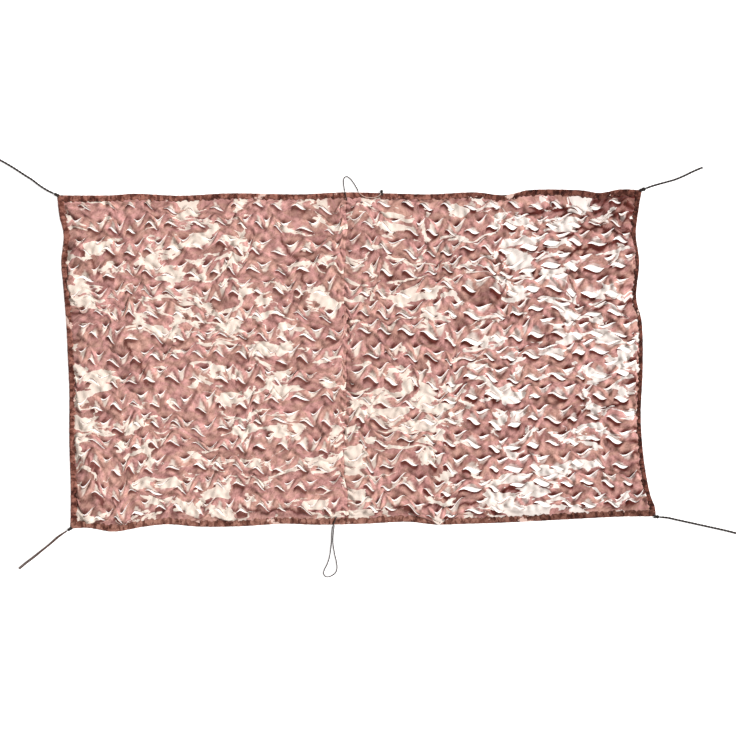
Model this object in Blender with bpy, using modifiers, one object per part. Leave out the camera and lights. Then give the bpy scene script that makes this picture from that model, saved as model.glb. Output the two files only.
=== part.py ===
"""Camouflage net, laid out flat on the ground.

Two widths of leaf-cut cloth lie side by side inside a folded binding, with a
doubled tie at each corner and a cord loop halfway along each long side.
Metres, +Z up; the origin is on the ground, under the middle of the net.
"""

import math

import bmesh
import bpy
from mathutils import Vector

# ------------------------------------------------------------ driving sizes
CLEARANCE = 0.0003      # kept between pieces that touch
CLOTH = 0.0020          # thickness of the leaf-cut cloth
BINDING_CLOTH = 0.0015  # thickness of one leg of the folded binding
SLOT = CLOTH + 2 * CLEARANCE
FOLD_DEPTH = 0.004      # solid depth of the binding's outer fold
TUCK = 0.012            # from the binding's outer edge to the cloth's own edge
MOUTH_MARGIN = 0.004    # flat cloth that shows inside the binding
SEAM_MARGIN = 0.010     # flat cloth on each side of the middle seam
CORD = 0.004            # one strand of cord
TIE = 0.008             # a doubled cord
CORD_STEP = 2.75        # spacing of the points along a cord, in its diameters
GROUND_GAP = 0.0002     # from the ground up to a cord or a knot that lies on it

# The binding's outer edge, corner to corner: x, y of each bend.
TOP_EDGE = (
    (-1.528, 0.844), (-1.385, 0.843), (-1.247, 0.844), (-1.130, 0.852), (-0.900, 0.842),
    (-0.645, 0.854), (-0.288, 0.849), (-0.059, 0.859), (0.222, 0.852), (0.375, 0.849),
    (0.604, 0.859), (0.752, 0.845), (0.885, 0.871), (1.140, 0.870), (1.242, 0.856),
    (1.344, 0.874), (1.456, 0.870),
)
BOTTOM_EDGE = (
    (-1.461, -0.859), (-1.369, -0.855), (-1.237, -0.874), (-1.084, -0.849), (-0.961, -0.837),
    (-0.798, -0.849), (-0.594, -0.847), (-0.365, -0.834), (-0.207, -0.839), (0.038, -0.834),
    (0.263, -0.824), (0.405, -0.838), (0.569, -0.834), (0.732, -0.829), (0.936, -0.819),
    (1.140, -0.808), (1.344, -0.798), (1.527, -0.796),
)
LEFT_EDGE = (
    (-1.461, -0.859), (-1.459, -0.783), (-1.459, -0.635), (-1.466, -0.405), (-1.466, -0.150),
    (-1.474, 0.028), (-1.482, 0.196), (-1.497, 0.380), (-1.507, 0.502), (-1.495, 0.640),
    (-1.517, 0.740), (-1.528, 0.844),
)
RIGHT_EDGE = (
    (1.527, -0.796), (1.522, -0.745), (1.501, -0.690), (1.481, -0.599), (1.461, -0.456),
    (1.451, -0.278), (1.461, -0.038), (1.456, 0.196), (1.428, 0.319), (1.443, 0.502),
    (1.426, 0.645), (1.441, 0.778), (1.456, 0.870),
)
NET_LENGTH = 2.985      # along the binding's long strips
NET_WIDTH = 1.695       # along its short strips
SEAM_AT_BOTTOM = 0.474  # the middle seam, as a share of the length
SEAM_AT_TOP = 0.494

# Widths of the binding strips; the start is each strip's left or lower end.
BINDING_WIDTHS = {
    "top": {"start": 0.034, "middle": 0.030, "end": 0.036},
    "bottom": {"start": 0.036, "middle": 0.032, "end": 0.032},
    "left": {"start": 0.034, "middle": 0.030, "end": 0.034},
    "right": {"start": 0.030, "middle": 0.020, "end": 0.026},
}
BINDING_ROUND = 0.0025  # depth over which the outer fold rounds off
# Padding of the strips' top side by their turned-in edges: its mean height, and waves along the strip.
PUFF = 0.00135
PUFF_WAVES = (
    {"length": 0.30, "phase": 0.0, "height": 0.0009},
    {"length": 0.134, "phase": 1.3, "height": 0.0006},
)
LONG_STEPS = 34         # steps along a long strip between its corners
SHORT_STEPS = 20        # steps along a short strip

# The leaf cuts, at twice the pitch of the real cloth. Each row of cuts is one of three kinds:
# columns that the row is moved along, the rest of that move as a share of a column, rise of a
# cut from its left tip to its right, how far it opens, and how far its lower lip lifts.
LEAF_ROWS = (
    {"columns": 0, "share": 0.0, "rise": -0.034, "opening": 0.019, "lift": 0.0130},
    {"columns": 2, "share": -0.333, "rise": 0.026, "opening": 0.015, "lift": 0.0110},
    {"columns": 3, "share": 0.333, "rise": -0.022, "opening": 0.017, "lift": 0.0120},
)
PITCH_COLUMNS = 5       # columns from one cut to the next
CUT_COLUMNS = 3         # columns that one cut spans
CUT_ROWS = 22           # rows of cuts from bottom to top
COLUMNS = {"left": 32, "right": 33}
EASE_COLUMNS = 3        # columns over which the cuts' slant grows from the panel's ends
UPPER_LIP = 0.4         # the upper lip's share of the opening
UPPER_LIFT = 0.2        # the upper lip's share of the lift
STRETCH_FROM = 0.70     # x where the cloth starts to be pulled wider open
STRETCH_OVER = 0.60     # length over which that grows
STRETCH_EXTRA = 1.0     # how much wider the cuts open there

# Unevenness of the laid cloth: length of the swell, its direction in degrees, phase and height.
SWELLS = (
    {"length": 0.62, "heading": 12, "phase": 0.4, "height": 0.0034},
    {"length": 0.41, "heading": 68, "phase": 2.1, "height": 0.0030},
    {"length": 0.27, "heading": 145, "phase": 4.0, "height": 0.0022},
)
# Main folds: ends x, y of each ridge, half its width and its height.
FOLDS = (
    {"start": (0.71, 0.37), "end": (1.16, 0.67), "half_width": 0.055, "height": 0.016},
    {"start": (-1.20, 0.10), "end": (-1.07, -0.14), "half_width": 0.050, "height": 0.014},
    {"start": (-0.93, -0.737), "end": (-0.10, -0.750), "half_width": 0.045, "height": 0.009},
    {"start": (0.03, -0.737), "end": (0.67, -0.711), "half_width": 0.045, "height": 0.010},
    {"start": (0.84, 0.768), "end": (1.15, 0.786), "half_width": 0.040, "height": 0.010},
    {"start": (-1.40, -0.45), "end": (-1.31, -0.76), "half_width": 0.050, "height": 0.011},
    {"start": (0.70, -0.66), "end": (0.86, -0.58), "half_width": 0.045, "height": 0.011},
)

# Corner knots and ties: the tie's route from its corner, x, y of each bend.
TIES = {
    "top_left": {"corner": (0, 1), "knot": 0.0090, "route": (
        (-1.574, 0.860), (-1.614, 0.889), (-1.655, 0.922), (-1.696, 0.948), (-1.737, 0.975),
        (-1.778, 1.000), (-1.818, 1.022), (-1.841, 1.030), (-1.863, 1.033))},
    "top_right": {"corner": (1, 1), "knot": 0.0115, "route": (
        (1.507, 0.889), (1.548, 0.901), (1.589, 0.912), (1.629, 0.924), (1.670, 0.941),
        (1.711, 0.961), (1.752, 0.979), (1.767, 0.984))},
    "bottom_right": {"corner": (1, 0), "knot": 0.0100, "route": (
        (1.588, -0.802), (1.629, -0.811), (1.670, -0.820), (1.711, -0.829), (1.752, -0.838),
        (1.793, -0.847), (1.834, -0.856), (1.874, -0.865), (1.915, -0.875), (1.955, -0.885),
        (1.977, -0.890))},
    "bottom_left": {"corner": (0, 0), "knot": 0.0085, "route": (
        (-1.502, -0.886), (-1.523, -0.901), (-1.563, -0.936), (-1.604, -0.969),
        (-1.645, -1.002), (-1.686, -1.033), (-1.716, -1.058))},
}
END_KNOTS = ("top_left", "bottom_right")
KNOT_HALF_HEIGHT = 0.0055
KNOT_SHOULDER = 0.866   # a knot's radius at half its lower height, as a share of its widest
KNOT_SEAT = 0.0004      # from a knot to the binding
END_KNOT = 0.0080

# Cord loops: route x, y, z from where the cord comes over the binding to where it goes back in.
LOOP_TOP = (
    (-0.0490, 0.8145, 0.0063), (-0.0518, 0.8265, 0.0089), (-0.0540, 0.8360, 0.0095),
    (-0.0560, 0.8460, 0.0094), (-0.0580, 0.8555, 0.0081), (-0.0605, 0.8660, 0.0050),
    (-0.0630, 0.8800, 0.0026), (-0.0650, 0.8970, 0.0022), (-0.0660, 0.9140, 0.0022),
    (-0.0620, 0.9310, 0.0022), (-0.0490, 0.9380, 0.0022), (-0.0330, 0.9280, 0.0022),
    (-0.0170, 0.9090, 0.0022), (-0.0040, 0.8880, 0.0022), (0.0055, 0.8710, 0.0022),
    (0.0090, 0.8590, 0.0024),
)
LOOP_BOTTOM = (
    (-0.1015, -0.7960, 0.0063), (-0.1060, -0.8065, 0.0087), (-0.1095, -0.8150, 0.0094),
    (-0.1130, -0.8240, 0.0095), (-0.1175, -0.8345, 0.0082), (-0.1210, -0.8450, 0.0052),
    (-0.1240, -0.8590, 0.0027), (-0.1260, -0.8860, 0.0022), (-0.1270, -0.9200, 0.0022),
    (-0.1300, -0.9450, 0.0022), (-0.1340, -0.9830, 0.0022), (-0.1400, -1.0120, 0.0022),
    (-0.1510, -1.0420, 0.0022), (-0.1640, -1.0680, 0.0022), (-0.1670, -1.0880, 0.0022),
    (-0.1550, -1.1020, 0.0022), (-0.1380, -1.1020, 0.0022), (-0.1190, -1.0930, 0.0022),
    (-0.1040, -1.0780, 0.0022), (-0.0990, -1.0560, 0.0022), (-0.1030, -1.0220, 0.0022),
    (-0.1100, -0.9930, 0.0022), (-0.1160, -0.9590, 0.0022), (-0.1190, -0.9400, 0.0022),
    (-0.1200, -0.9200, 0.0022), (-0.1185, -0.8860, 0.0022), (-0.1155, -0.8600, 0.0022),
    (-0.1135, -0.8386, 0.0024),
)
STOPPER_KNOT_SHARE = 0.554   # along the top edge, from its left corner
STOPPER_KNOT = 0.0085

# ------------------------------------------------------------ colours
CLOTH_BROWN = (0.50, 0.27, 0.21)
BINDING_BROWN = (0.24, 0.10, 0.075)
CORD_BROWN = (0.10, 0.075, 0.065)
KNOT_BLACK = (0.03, 0.018, 0.016)


# ------------------------------------------------------------ curves and the net's outline
def smooth_run(points):
    """Function of 0..1 that runs smoothly through the points, by their chord length."""
    bends = [Vector(point) for point in points]
    reach = [0.0]
    for here, there in zip(bends, bends[1:]):
        reach.append(reach[-1] + (there - here).length)

    def slope(index):
        low = max(index - 1, 0)
        high = min(index + 1, len(bends) - 1)
        return (bends[high] - bends[low]) / (reach[high] - reach[low])

    def at(share):
        along = min(max(share, 0.0), 1.0) * reach[-1]
        index = max(k for k in range(len(bends) - 1) if reach[k] <= along)
        span = reach[index + 1] - reach[index]
        u = (along - reach[index]) / span
        start, end = bends[index], bends[index + 1]
        leave, arrive = slope(index) * span, slope(index + 1) * span
        return (start * (2 * u**3 - 3 * u**2 + 1) + leave * (u**3 - 2 * u**2 + u)
                + end * (3 * u**2 - 2 * u**3) + arrive * (u**3 - u**2))

    return at


top_edge = smooth_run(TOP_EDGE)
bottom_edge = smooth_run(BOTTOM_EDGE)
left_edge = smooth_run(LEFT_EDGE)
right_edge = smooth_run(RIGHT_EDGE)


def net_point(s, t):
    """Place on the ground of a point of the net: s from left to right, t from bottom to top."""
    between_sides = left_edge(t) * (1 - s) + right_edge(t) * s
    between_ends = bottom_edge(s) * (1 - t) + top_edge(s) * t
    low = bottom_edge(0) * (1 - s) + bottom_edge(1) * s
    high = top_edge(0) * (1 - s) + top_edge(1) * s
    return between_sides + between_ends - (low * (1 - t) + high * t)


def blend(u):
    """Smooth step from 0 to 1."""
    u = min(max(u, 0.0), 1.0)
    return u * u * (3 - 2 * u)


def even_shares(start, end, count):
    """Shares from start to end in equal steps, both ends included."""
    return [start + (end - start) * k / count for k in range(count + 1)]


def strip_width(side, u):
    """Width of a binding strip at a share of its length: it changes over the end quarters."""
    width = BINDING_WIDTHS[side]
    to_start = (width["start"] - width["middle"]) * blend(1 - 4 * u)
    to_end = (width["end"] - width["middle"]) * blend(4 * u - 3)
    return width["middle"] + to_start + to_end


# ------------------------------------------------------------ the leaf-cut cloth
def fold_height(place):
    """Height of the main folds at a place on the ground."""
    height = 0.0
    for fold in FOLDS:
        start, end = Vector(fold["start"]), Vector(fold["end"])
        along = (place - start).dot(end - start) / (end - start).length_squared
        nearest = start.lerp(end, min(max(along, 0.0), 1.0))
        distance = (place - nearest).length / fold["half_width"]
        height = max(height, fold["height"] * math.exp(-distance * distance))
    return height


def swell_height(place):
    """Unevenness of the laid cloth; what would be below the ground is flat on it."""
    height = 0.0
    for swell in SWELLS:
        heading = math.radians(swell["heading"])
        along = place.x * math.cos(heading) + place.y * math.sin(heading)
        height += swell["height"] * math.sin(2 * math.pi * along / swell["length"] + swell["phase"])
    return max(height, 0.0)


def cut_starts(kind, columns):
    """Columns at which the cuts of one row start."""
    first = 1 + kind["columns"]
    return list(range(first, columns - CUT_COLUMNS, PITCH_COLUMNS))


def row_zigzag(kind, column):
    """Rise of a row's line at a column: up one way along each cut and back between cuts."""
    phase = (column - 1 - kind["columns"]) % PITCH_COLUMNS
    if phase <= CUT_COLUMNS:
        return kind["rise"] * (phase / CUT_COLUMNS - 0.5)
    return kind["rise"] * (0.5 - (phase - CUT_COLUMNS) / (PITCH_COLUMNS - CUT_COLUMNS))


def panel_lines(side):
    """Where one panel's grid lines lie: shares of its own length and of the net's width."""
    columns = COLUMNS[side]
    panel_length = NET_LENGTH * 0.5 * (SEAM_AT_BOTTOM + SEAM_AT_TOP)
    if side == "right":
        panel_length = NET_LENGTH - panel_length
    tucked = TUCK / panel_length
    mouth = (max(BINDING_WIDTHS[side].values()) + MOUTH_MARGIN) / panel_length
    seam = 1 - SEAM_MARGIN / panel_length
    seam_edge = 1 - 0.5 * CLEARANCE / panel_length
    across = [tucked] + even_shares(mouth, seam, columns) + [seam_edge]
    if side == "right":
        across = [1 - share for share in reversed(across)]
    low = (max(BINDING_WIDTHS["bottom"].values()) + MOUTH_MARGIN) / NET_WIDTH
    high = 1 - (max(BINDING_WIDTHS["top"].values()) + MOUTH_MARGIN) / NET_WIDTH
    upward = [TUCK / NET_WIDTH] + even_shares(low, high, CUT_ROWS + 1) + [1 - TUCK / NET_WIDTH]
    return across, upward


def panel_place(side, own, t):
    """Ground place of a share of a panel's own length, counted from its left edge."""
    seam = SEAM_AT_BOTTOM + (SEAM_AT_TOP - SEAM_AT_BOTTOM) * t
    return net_point(own * seam if side == "left" else seam + own * (1 - seam), t)


def panel_point(side, across, upward, spot, lip):
    """Place of one point of a panel; lip is None, or the side of its cut that it is on."""
    column, row = spot
    last_column, last_row = len(across) - 1, len(upward) - 1
    own, t = across[column], upward[row]
    from_binding = column if side == "left" else last_column - column
    if from_binding < 2 or row < 2 or row > last_row - 2:
        place = panel_place(side, own, t)
        return (place.x, place.y, BINDING_CLOTH + CLEARANCE)
    if from_binding >= last_column - 1:
        place = panel_place(side, own, t)
        return (place.x, place.y, 0.0)

    kind = LEAF_ROWS[row % len(LEAF_ROWS)]
    inward = blend((column - 1) / EASE_COLUMNS) * blend((last_column - 1 - column) / EASE_COLUMNS)
    own += kind["share"] * (across[3] - across[2]) * inward
    place = panel_place(side, own, t)
    place.y += row_zigzag(kind, column - 1) * inward
    height = swell_height(place) + fold_height(place)
    if lip:
        stretch = 1 + STRETCH_EXTRA * blend((place.x - STRETCH_FROM) / STRETCH_OVER)
        opening = kind["opening"] * stretch
        if lip == "upper":
            place.y += UPPER_LIP * opening
            height += UPPER_LIFT * kind["lift"]
        else:
            place.y -= (1 - UPPER_LIP) * opening
            height += kind["lift"]
    return (place.x, place.y, height)


def panel(side, material):
    """One width of cloth: a grid cut along its rows, each cut opened, then given its thickness."""
    across, upward = panel_lines(side)
    last_column, last_row = len(across) - 1, len(upward) - 1
    bm = bmesh.new()
    bmesh.ops.create_grid(bm, x_segments=last_column, y_segments=last_row, size=0.5)

    def spot_of(vert):
        return round((vert.co.x + 0.5) * last_column), round((vert.co.y + 0.5) * last_row)

    grid = {spot_of(vert): vert for vert in bm.verts}
    cut_edges, cut_spots = [], set()
    for row in range(2, last_row - 1):
        kind = LEAF_ROWS[row % len(LEAF_ROWS)]
        for start in cut_starts(kind, COLUMNS[side]):
            spots = [(start + step + 1, row) for step in range(CUT_COLUMNS + 1)]
            cut_edges += [bm.edges.get((grid[a], grid[b])) for a, b in zip(spots, spots[1:])]
            cut_spots.update(spots[1:-1])
    bmesh.ops.split_edges(bm, edges=cut_edges)

    placed = []
    for vert in bm.verts:
        lip = None
        if spot_of(vert) in cut_spots:
            lip = "upper" if vert.link_faces[0].calc_center_median().y > vert.co.y else "lower"
        placed.append(panel_point(side, across, upward, spot_of(vert), lip))
    for vert, place in zip(bm.verts, placed):
        vert.co = place

    mesh = bpy.data.meshes.new("panel_" + side)
    bm.to_mesh(mesh)
    bm.free()
    mesh.shade_smooth()
    cloth = add_object("panel_" + side, mesh, material)
    thicken = cloth.modifiers.new("cloth", "SOLIDIFY")
    thicken.thickness = CLOTH
    thicken.offset = 1.0
    thicken.use_even_offset = True
    return cloth


# ------------------------------------------------------------ the folded binding
def binding_section(width, puff):
    """Outline of the binding across its length: depth from the outer edge, and height."""
    top = 2 * BINDING_CLOTH + SLOT
    return (
        (0.0, 0.5 * top),
        (BINDING_ROUND, 0.0),
        (width, 0.0),
        (width, BINDING_CLOTH),
        (FOLD_DEPTH, BINDING_CLOTH),
        (FOLD_DEPTH, BINDING_CLOTH + SLOT),
        (width, BINDING_CLOTH + SLOT),
        (width, top + 0.3 * puff),
        (0.5 * width, top + puff),
        (BINDING_ROUND, 0.9 * top),
    )


def binding_puff(along):
    """How far the strip's top side is padded at a distance along it."""
    puff = PUFF
    for wave in PUFF_WAVES:
        puff += wave["height"] * math.sin(2 * math.pi * along / wave["length"] + wave["phase"])
    return puff


def binding(side, stations, strip_length, place_of, material):
    """A folded strip: its section carried along the stations, closed at both ends."""
    bm = bmesh.new()
    rings = []
    for station in stations:
        share = (station - stations[0]) / (stations[-1] - stations[0])
        width = strip_width(side, share)
        ring = []
        for depth, height in binding_section(width, binding_puff(station * strip_length)):
            ground = place_of(station, depth)
            ring.append(bm.verts.new((ground.x, ground.y, height)))
        rings.append(ring)
    count = len(rings[0])
    for here, there in zip(rings, rings[1:]):
        for k in range(count):
            following = (k + 1) % count
            bm.faces.new((here[k], here[following], there[following], there[k]))
    bm.faces.new(rings[0])
    bm.faces.new(rings[-1])
    bmesh.ops.recalc_face_normals(bm, faces=bm.faces)
    mesh = bpy.data.meshes.new("binding_" + side)
    bm.to_mesh(mesh)
    bm.free()
    mesh.shade_smooth()
    mesh.set_sharp_from_angle(angle=math.radians(40))
    return add_object("binding_" + side, mesh, material)


def bindings(material):
    """The long strips run from corner to corner, and the short ones fit between them."""
    widths = BINDING_WIDTHS
    for side, corner, place_of in (
            ("top", "end", lambda s, depth: net_point(s, 1 - depth / NET_WIDTH)),
            ("bottom", "start", lambda s, depth: net_point(s, depth / NET_WIDTH))):
        first = widths["left"][corner] / NET_LENGTH
        last = 1 - widths["right"][corner] / NET_LENGTH
        stations = [0.0] + even_shares(first, last, LONG_STEPS) + [1.0]
        binding(side, stations, NET_LENGTH, place_of, material)
    for side, corner, place_of in (
            ("left", "start", lambda t, depth: net_point(depth / NET_LENGTH, t)),
            ("right", "end", lambda t, depth: net_point(1 - depth / NET_LENGTH, t))):
        start = (widths["bottom"][corner] + CLEARANCE) / NET_WIDTH
        end = 1 - (widths["top"][corner] + CLEARANCE) / NET_WIDTH
        binding(side, even_shares(start, end, SHORT_STEPS), NET_WIDTH, place_of, material)


# ------------------------------------------------------------ cords and knots
def cord(name, route, diameter, material):
    """A free cord: a round tube on a smooth curve through its route."""
    curve = bpy.data.curves.new(name, "CURVE")
    curve.dimensions = "3D"
    curve.bevel_depth = 0.5 * diameter
    curve.bevel_resolution = 2
    curve.use_fill_caps = True
    run = smooth_run(route)
    length = sum((Vector(b) - Vector(a)).length for a, b in zip(route, route[1:]))
    steps = round(length / (CORD_STEP * diameter))
    spline = curve.splines.new("POLY")
    spline.points.add(steps)
    for k, point in enumerate(spline.points):
        point.co = (*run(k / steps), 1.0)
    return add_object(name, curve, material)


def knot(name, centre, outward, radius, material):
    """A small knot pressed down on the ground: a flattened ball, with a ridge facing outward."""
    bm = bmesh.new()
    bmesh.ops.create_uvsphere(bm, u_segments=10, v_segments=6, radius=radius)
    bmesh.ops.scale(bm, vec=(1.0, 1.0, KNOT_HALF_HEIGHT / radius), verts=bm.verts)
    mesh = bpy.data.meshes.new(name)
    bm.to_mesh(mesh)
    bm.free()
    mesh.shade_smooth()
    ball = add_object(name, mesh, material)
    ball.location = (centre.x, centre.y, KNOT_HALF_HEIGHT + GROUND_GAP)
    ball.rotation_euler.z = math.atan2(outward.y, outward.x)


def knot_at_edge(name, edge_point, outward, radius, material):
    """A knot seated against the binding's outer fold, which meets it below its widest ring."""
    centre = edge_point + outward * (KNOT_SHOULDER * radius + KNOT_SEAT)
    knot(name, centre, outward, radius, material)
    return centre


def tie(corner_name, cord_material, knot_material):
    """A corner tie: the knot at the corner, the doubled cord, and a knot at its end if it has one."""
    row = TIES[corner_name]
    corner = net_point(*row["corner"])
    outward = (Vector(row["route"][0]) - corner).normalized()
    centre = knot_at_edge("knot_" + corner_name, corner, outward, row["knot"], knot_material)
    start = centre + outward * (row["knot"] + CLEARANCE)
    lying = 0.5 * TIE + GROUND_GAP
    route = [(start.x, start.y, lying)] + [(x, y, lying) for x, y in row["route"]]
    cord("tie_" + corner_name, route, TIE, cord_material)
    if corner_name in END_KNOTS:
        end, before = Vector(row["route"][-1]), Vector(row["route"][-2])
        onward = (end - before).normalized()
        beyond = end + onward * (END_KNOT + CLEARANCE)
        knot("end_knot_" + corner_name, beyond, onward, END_KNOT, knot_material)


# ------------------------------------------------------------ scene set-up
def add_object(name, data, material):
    """Put a mesh or a curve in the net's collection with its material."""
    data.materials.append(material)
    item = bpy.data.objects.new(name, data)
    net_collection.objects.link(item)
    return item


def cloth_material(name, colour, roughness):
    """A plain Principled material."""
    material = bpy.data.materials.new(name)
    material.use_nodes = True
    shader = material.node_tree.nodes["Principled BSDF"]
    shader.inputs["Base Color"].default_value = (*colour, 1.0)
    shader.inputs["Roughness"].default_value = roughness
    shader.inputs["Metallic"].default_value = 0.0
    return material


for old in list(bpy.data.objects):
    bpy.data.objects.remove(old, do_unlink=True)
net_collection = bpy.data.collections.new("camouflage_net")
bpy.context.scene.collection.children.link(net_collection)

printed_cloth = cloth_material("printed_cloth", CLOTH_BROWN, 0.85)
binding_cloth = cloth_material("binding_cloth", BINDING_BROWN, 0.85)
brown_cord = cloth_material("brown_cord", CORD_BROWN, 0.7)
knot_cord = cloth_material("knot_cord", KNOT_BLACK, 0.7)

panel("left", printed_cloth)
panel("right", printed_cloth)
bindings(binding_cloth)
for corner_name in TIES:
    tie(corner_name, brown_cord, knot_cord)
cord("loop_top", LOOP_TOP, CORD, brown_cord)
cord("loop_bottom", LOOP_BOTTOM, CORD, brown_cord)
stopper_edge = net_point(STOPPER_KNOT_SHARE, 1)
knot_at_edge("stopper_knot", stopper_edge, Vector((0, 1)), STOPPER_KNOT, knot_cord)
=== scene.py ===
# %% [markdown]
# # A camouflage net, laid flat
#
# The real net is two widths of thin printed cloth, cut into leaves and sewn into a folded
# binding, with a doubled cord at each corner, a cord loop halfway along each long side and a
# pale cord lying across the top binding.
# The imported model gives the solids at their real size. Each cell below makes the fine surface
# of one piece in the place of its solid, as arrays of points worked out with numpy.

# %% Load the frame
import math

import bmesh
import bpy
import numpy as np
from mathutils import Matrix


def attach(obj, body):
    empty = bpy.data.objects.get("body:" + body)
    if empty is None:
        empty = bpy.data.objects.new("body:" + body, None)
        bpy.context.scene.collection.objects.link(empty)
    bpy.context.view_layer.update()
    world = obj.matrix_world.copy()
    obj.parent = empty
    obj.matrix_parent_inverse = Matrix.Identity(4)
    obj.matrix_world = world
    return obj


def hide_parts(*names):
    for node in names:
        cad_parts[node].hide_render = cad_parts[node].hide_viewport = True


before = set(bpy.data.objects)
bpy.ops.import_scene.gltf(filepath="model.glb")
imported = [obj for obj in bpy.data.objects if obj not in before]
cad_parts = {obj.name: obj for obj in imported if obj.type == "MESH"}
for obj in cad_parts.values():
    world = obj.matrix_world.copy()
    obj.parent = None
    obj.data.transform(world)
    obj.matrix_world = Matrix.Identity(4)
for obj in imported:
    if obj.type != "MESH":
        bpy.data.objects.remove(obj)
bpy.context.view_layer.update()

# %% [markdown]
# ## The camera
# The net is looked at straight down, as it is laid out on the ground. A long lens high above
# gives a picture almost without perspective, and the turn of zero keeps +Y at the top.

# %% Camera over the net
VIEW_CENTRE = (0.0586, -0.0383)
VIEW_WIDTH = 3.754
LENS = 120.0
camera_data = bpy.data.cameras.new("overhead")
camera_data.lens = LENS
camera_height = VIEW_WIDTH * LENS / camera_data.sensor_width
camera_data.clip_end = 3 * camera_height
camera = bpy.data.objects.new("overhead", camera_data)
camera.location = (*VIEW_CENTRE, camera_height)
bpy.context.scene.collection.objects.link(camera)
bpy.context.scene.camera = camera
print("camera height", round(camera_height, 2))

# %% [markdown]
# ## Smooth runs
# Edges and cords follow a few given points. A straight line between them would look like
# bent wire, so each stretch is a cubic that leaves and arrives along the line through its
# neighbours. The same curve gives the net's four edges and every cord.

# %% A smooth run through points
def smooth_run(points, shares):
    """Places at shares 0..1 of the chord length. On each stretch, with u from 0 to 1, the place
    is start (2u^3 - 3u^2 + 1) + end (3u^2 - 2u^3) + leave (u^3 - 2u^2 + u) + arrive (u^3 - u^2)."""
    bends = np.asarray(points, float)
    steps = np.linalg.norm(np.diff(bends, axis=0), axis=1)
    reach = np.concatenate([[0.0], np.cumsum(steps)])
    low = np.maximum(np.arange(len(bends)) - 1, 0)
    high = np.minimum(np.arange(len(bends)) + 1, len(bends) - 1)
    slope = (bends[high] - bends[low]) / (reach[high] - reach[low])[:, None]
    along = np.clip(np.asarray(shares, float), 0.0, 1.0) * reach[-1]
    k = np.clip(np.searchsorted(reach, along, side="right") - 1, 0, len(steps) - 1)
    u = ((along - reach[k]) / steps[k])[..., None]
    span = steps[k][..., None]
    return (bends[k] * (2 * u**3 - 3 * u**2 + 1) + bends[k + 1] * (3 * u**2 - 2 * u**3)
            + slope[k] * span * (u**3 - 2 * u**2 + u) + slope[k + 1] * span * (u**3 - u**2))


# %% [markdown]
# ## The net's outline
# The four edges are the outer folds of the binding. Any point of the net is found from its
# share along and its share across by blending the edges, so that the cloth follows the wavy
# outline, as it does when the binding holds it.

# %% Outline and places inside it
TOP_EDGE = (
    (-1.528, 0.844), (-1.385, 0.843), (-1.247, 0.844), (-1.130, 0.852), (-0.900, 0.842),
    (-0.645, 0.854), (-0.288, 0.849), (-0.059, 0.859), (0.222, 0.852), (0.375, 0.849),
    (0.604, 0.859), (0.752, 0.845), (0.885, 0.871), (1.140, 0.870), (1.242, 0.856),
    (1.344, 0.874), (1.456, 0.870),
)
BOTTOM_EDGE = (
    (-1.461, -0.859), (-1.369, -0.855), (-1.237, -0.874), (-1.084, -0.849), (-0.961, -0.837),
    (-0.798, -0.849), (-0.594, -0.847), (-0.365, -0.834), (-0.207, -0.839), (0.038, -0.834),
    (0.263, -0.824), (0.405, -0.838), (0.569, -0.834), (0.732, -0.829), (0.936, -0.819),
    (1.140, -0.808), (1.344, -0.798), (1.527, -0.796),
)
LEFT_EDGE = (
    (-1.461, -0.859), (-1.459, -0.783), (-1.459, -0.635), (-1.466, -0.405), (-1.466, -0.150),
    (-1.474, 0.028), (-1.482, 0.196), (-1.497, 0.380), (-1.507, 0.502), (-1.495, 0.640),
    (-1.517, 0.740), (-1.528, 0.844),
)
RIGHT_EDGE = (
    (1.527, -0.796), (1.522, -0.745), (1.501, -0.690), (1.481, -0.599), (1.461, -0.456),
    (1.451, -0.278), (1.461, -0.038), (1.456, 0.196), (1.428, 0.319), (1.443, 0.502),
    (1.426, 0.645), (1.441, 0.778), (1.456, 0.870),
)
NET_LENGTH, NET_WIDTH = 2.985, 1.695
SEAM_AT_BOTTOM, SEAM_AT_TOP = 0.474, 0.494


def net_point(s, t):
    """Ground places for arrays s (share along) and t (share across): the blend of the left and
    right edges, plus the blend of the bottom and top edges, less the blend of the corners."""
    s, t = np.broadcast_arrays(np.asarray(s, float), np.asarray(t, float))
    a, b = s[..., None], t[..., None]
    between_sides = smooth_run(LEFT_EDGE, t) * (1 - a) + smooth_run(RIGHT_EDGE, t) * a
    between_ends = smooth_run(BOTTOM_EDGE, s) * (1 - b) + smooth_run(TOP_EDGE, s) * b
    corners = [np.array(p) for p in (BOTTOM_EDGE[0], BOTTOM_EDGE[-1], TOP_EDGE[0], TOP_EDGE[-1])]
    low = corners[0] * (1 - a) + corners[1] * a
    high = corners[2] * (1 - a) + corners[3] * a
    return between_sides + between_ends - (low * (1 - b) + high * b)


def blend(u):
    """Smooth step: u u (3 - 2 u) of u clipped to 0..1."""
    u = np.clip(u, 0.0, 1.0)
    return u * u * (3 - 2 * u)


def wave(distance, length, phase=0.0):
    """sin(2 pi distance / length + phase)."""
    return np.sin(2 * np.pi * distance / length + phase)


print("seam from", net_point(SEAM_AT_BOTTOM, 0.0).round(3), "to", net_point(SEAM_AT_TOP, 1.0).round(3))

# %% [markdown]
# ## From arrays to a mesh
# Every surface here is a grid of points. One helper turns rows and columns of points into
# quads, joins the last column to the first where the grid goes round, and writes the points
# with foreach_set, which is far faster than adding vertices one at a time. The UV map holds
# lengths in metres, so that a weave or a print keeps its scale.

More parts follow.
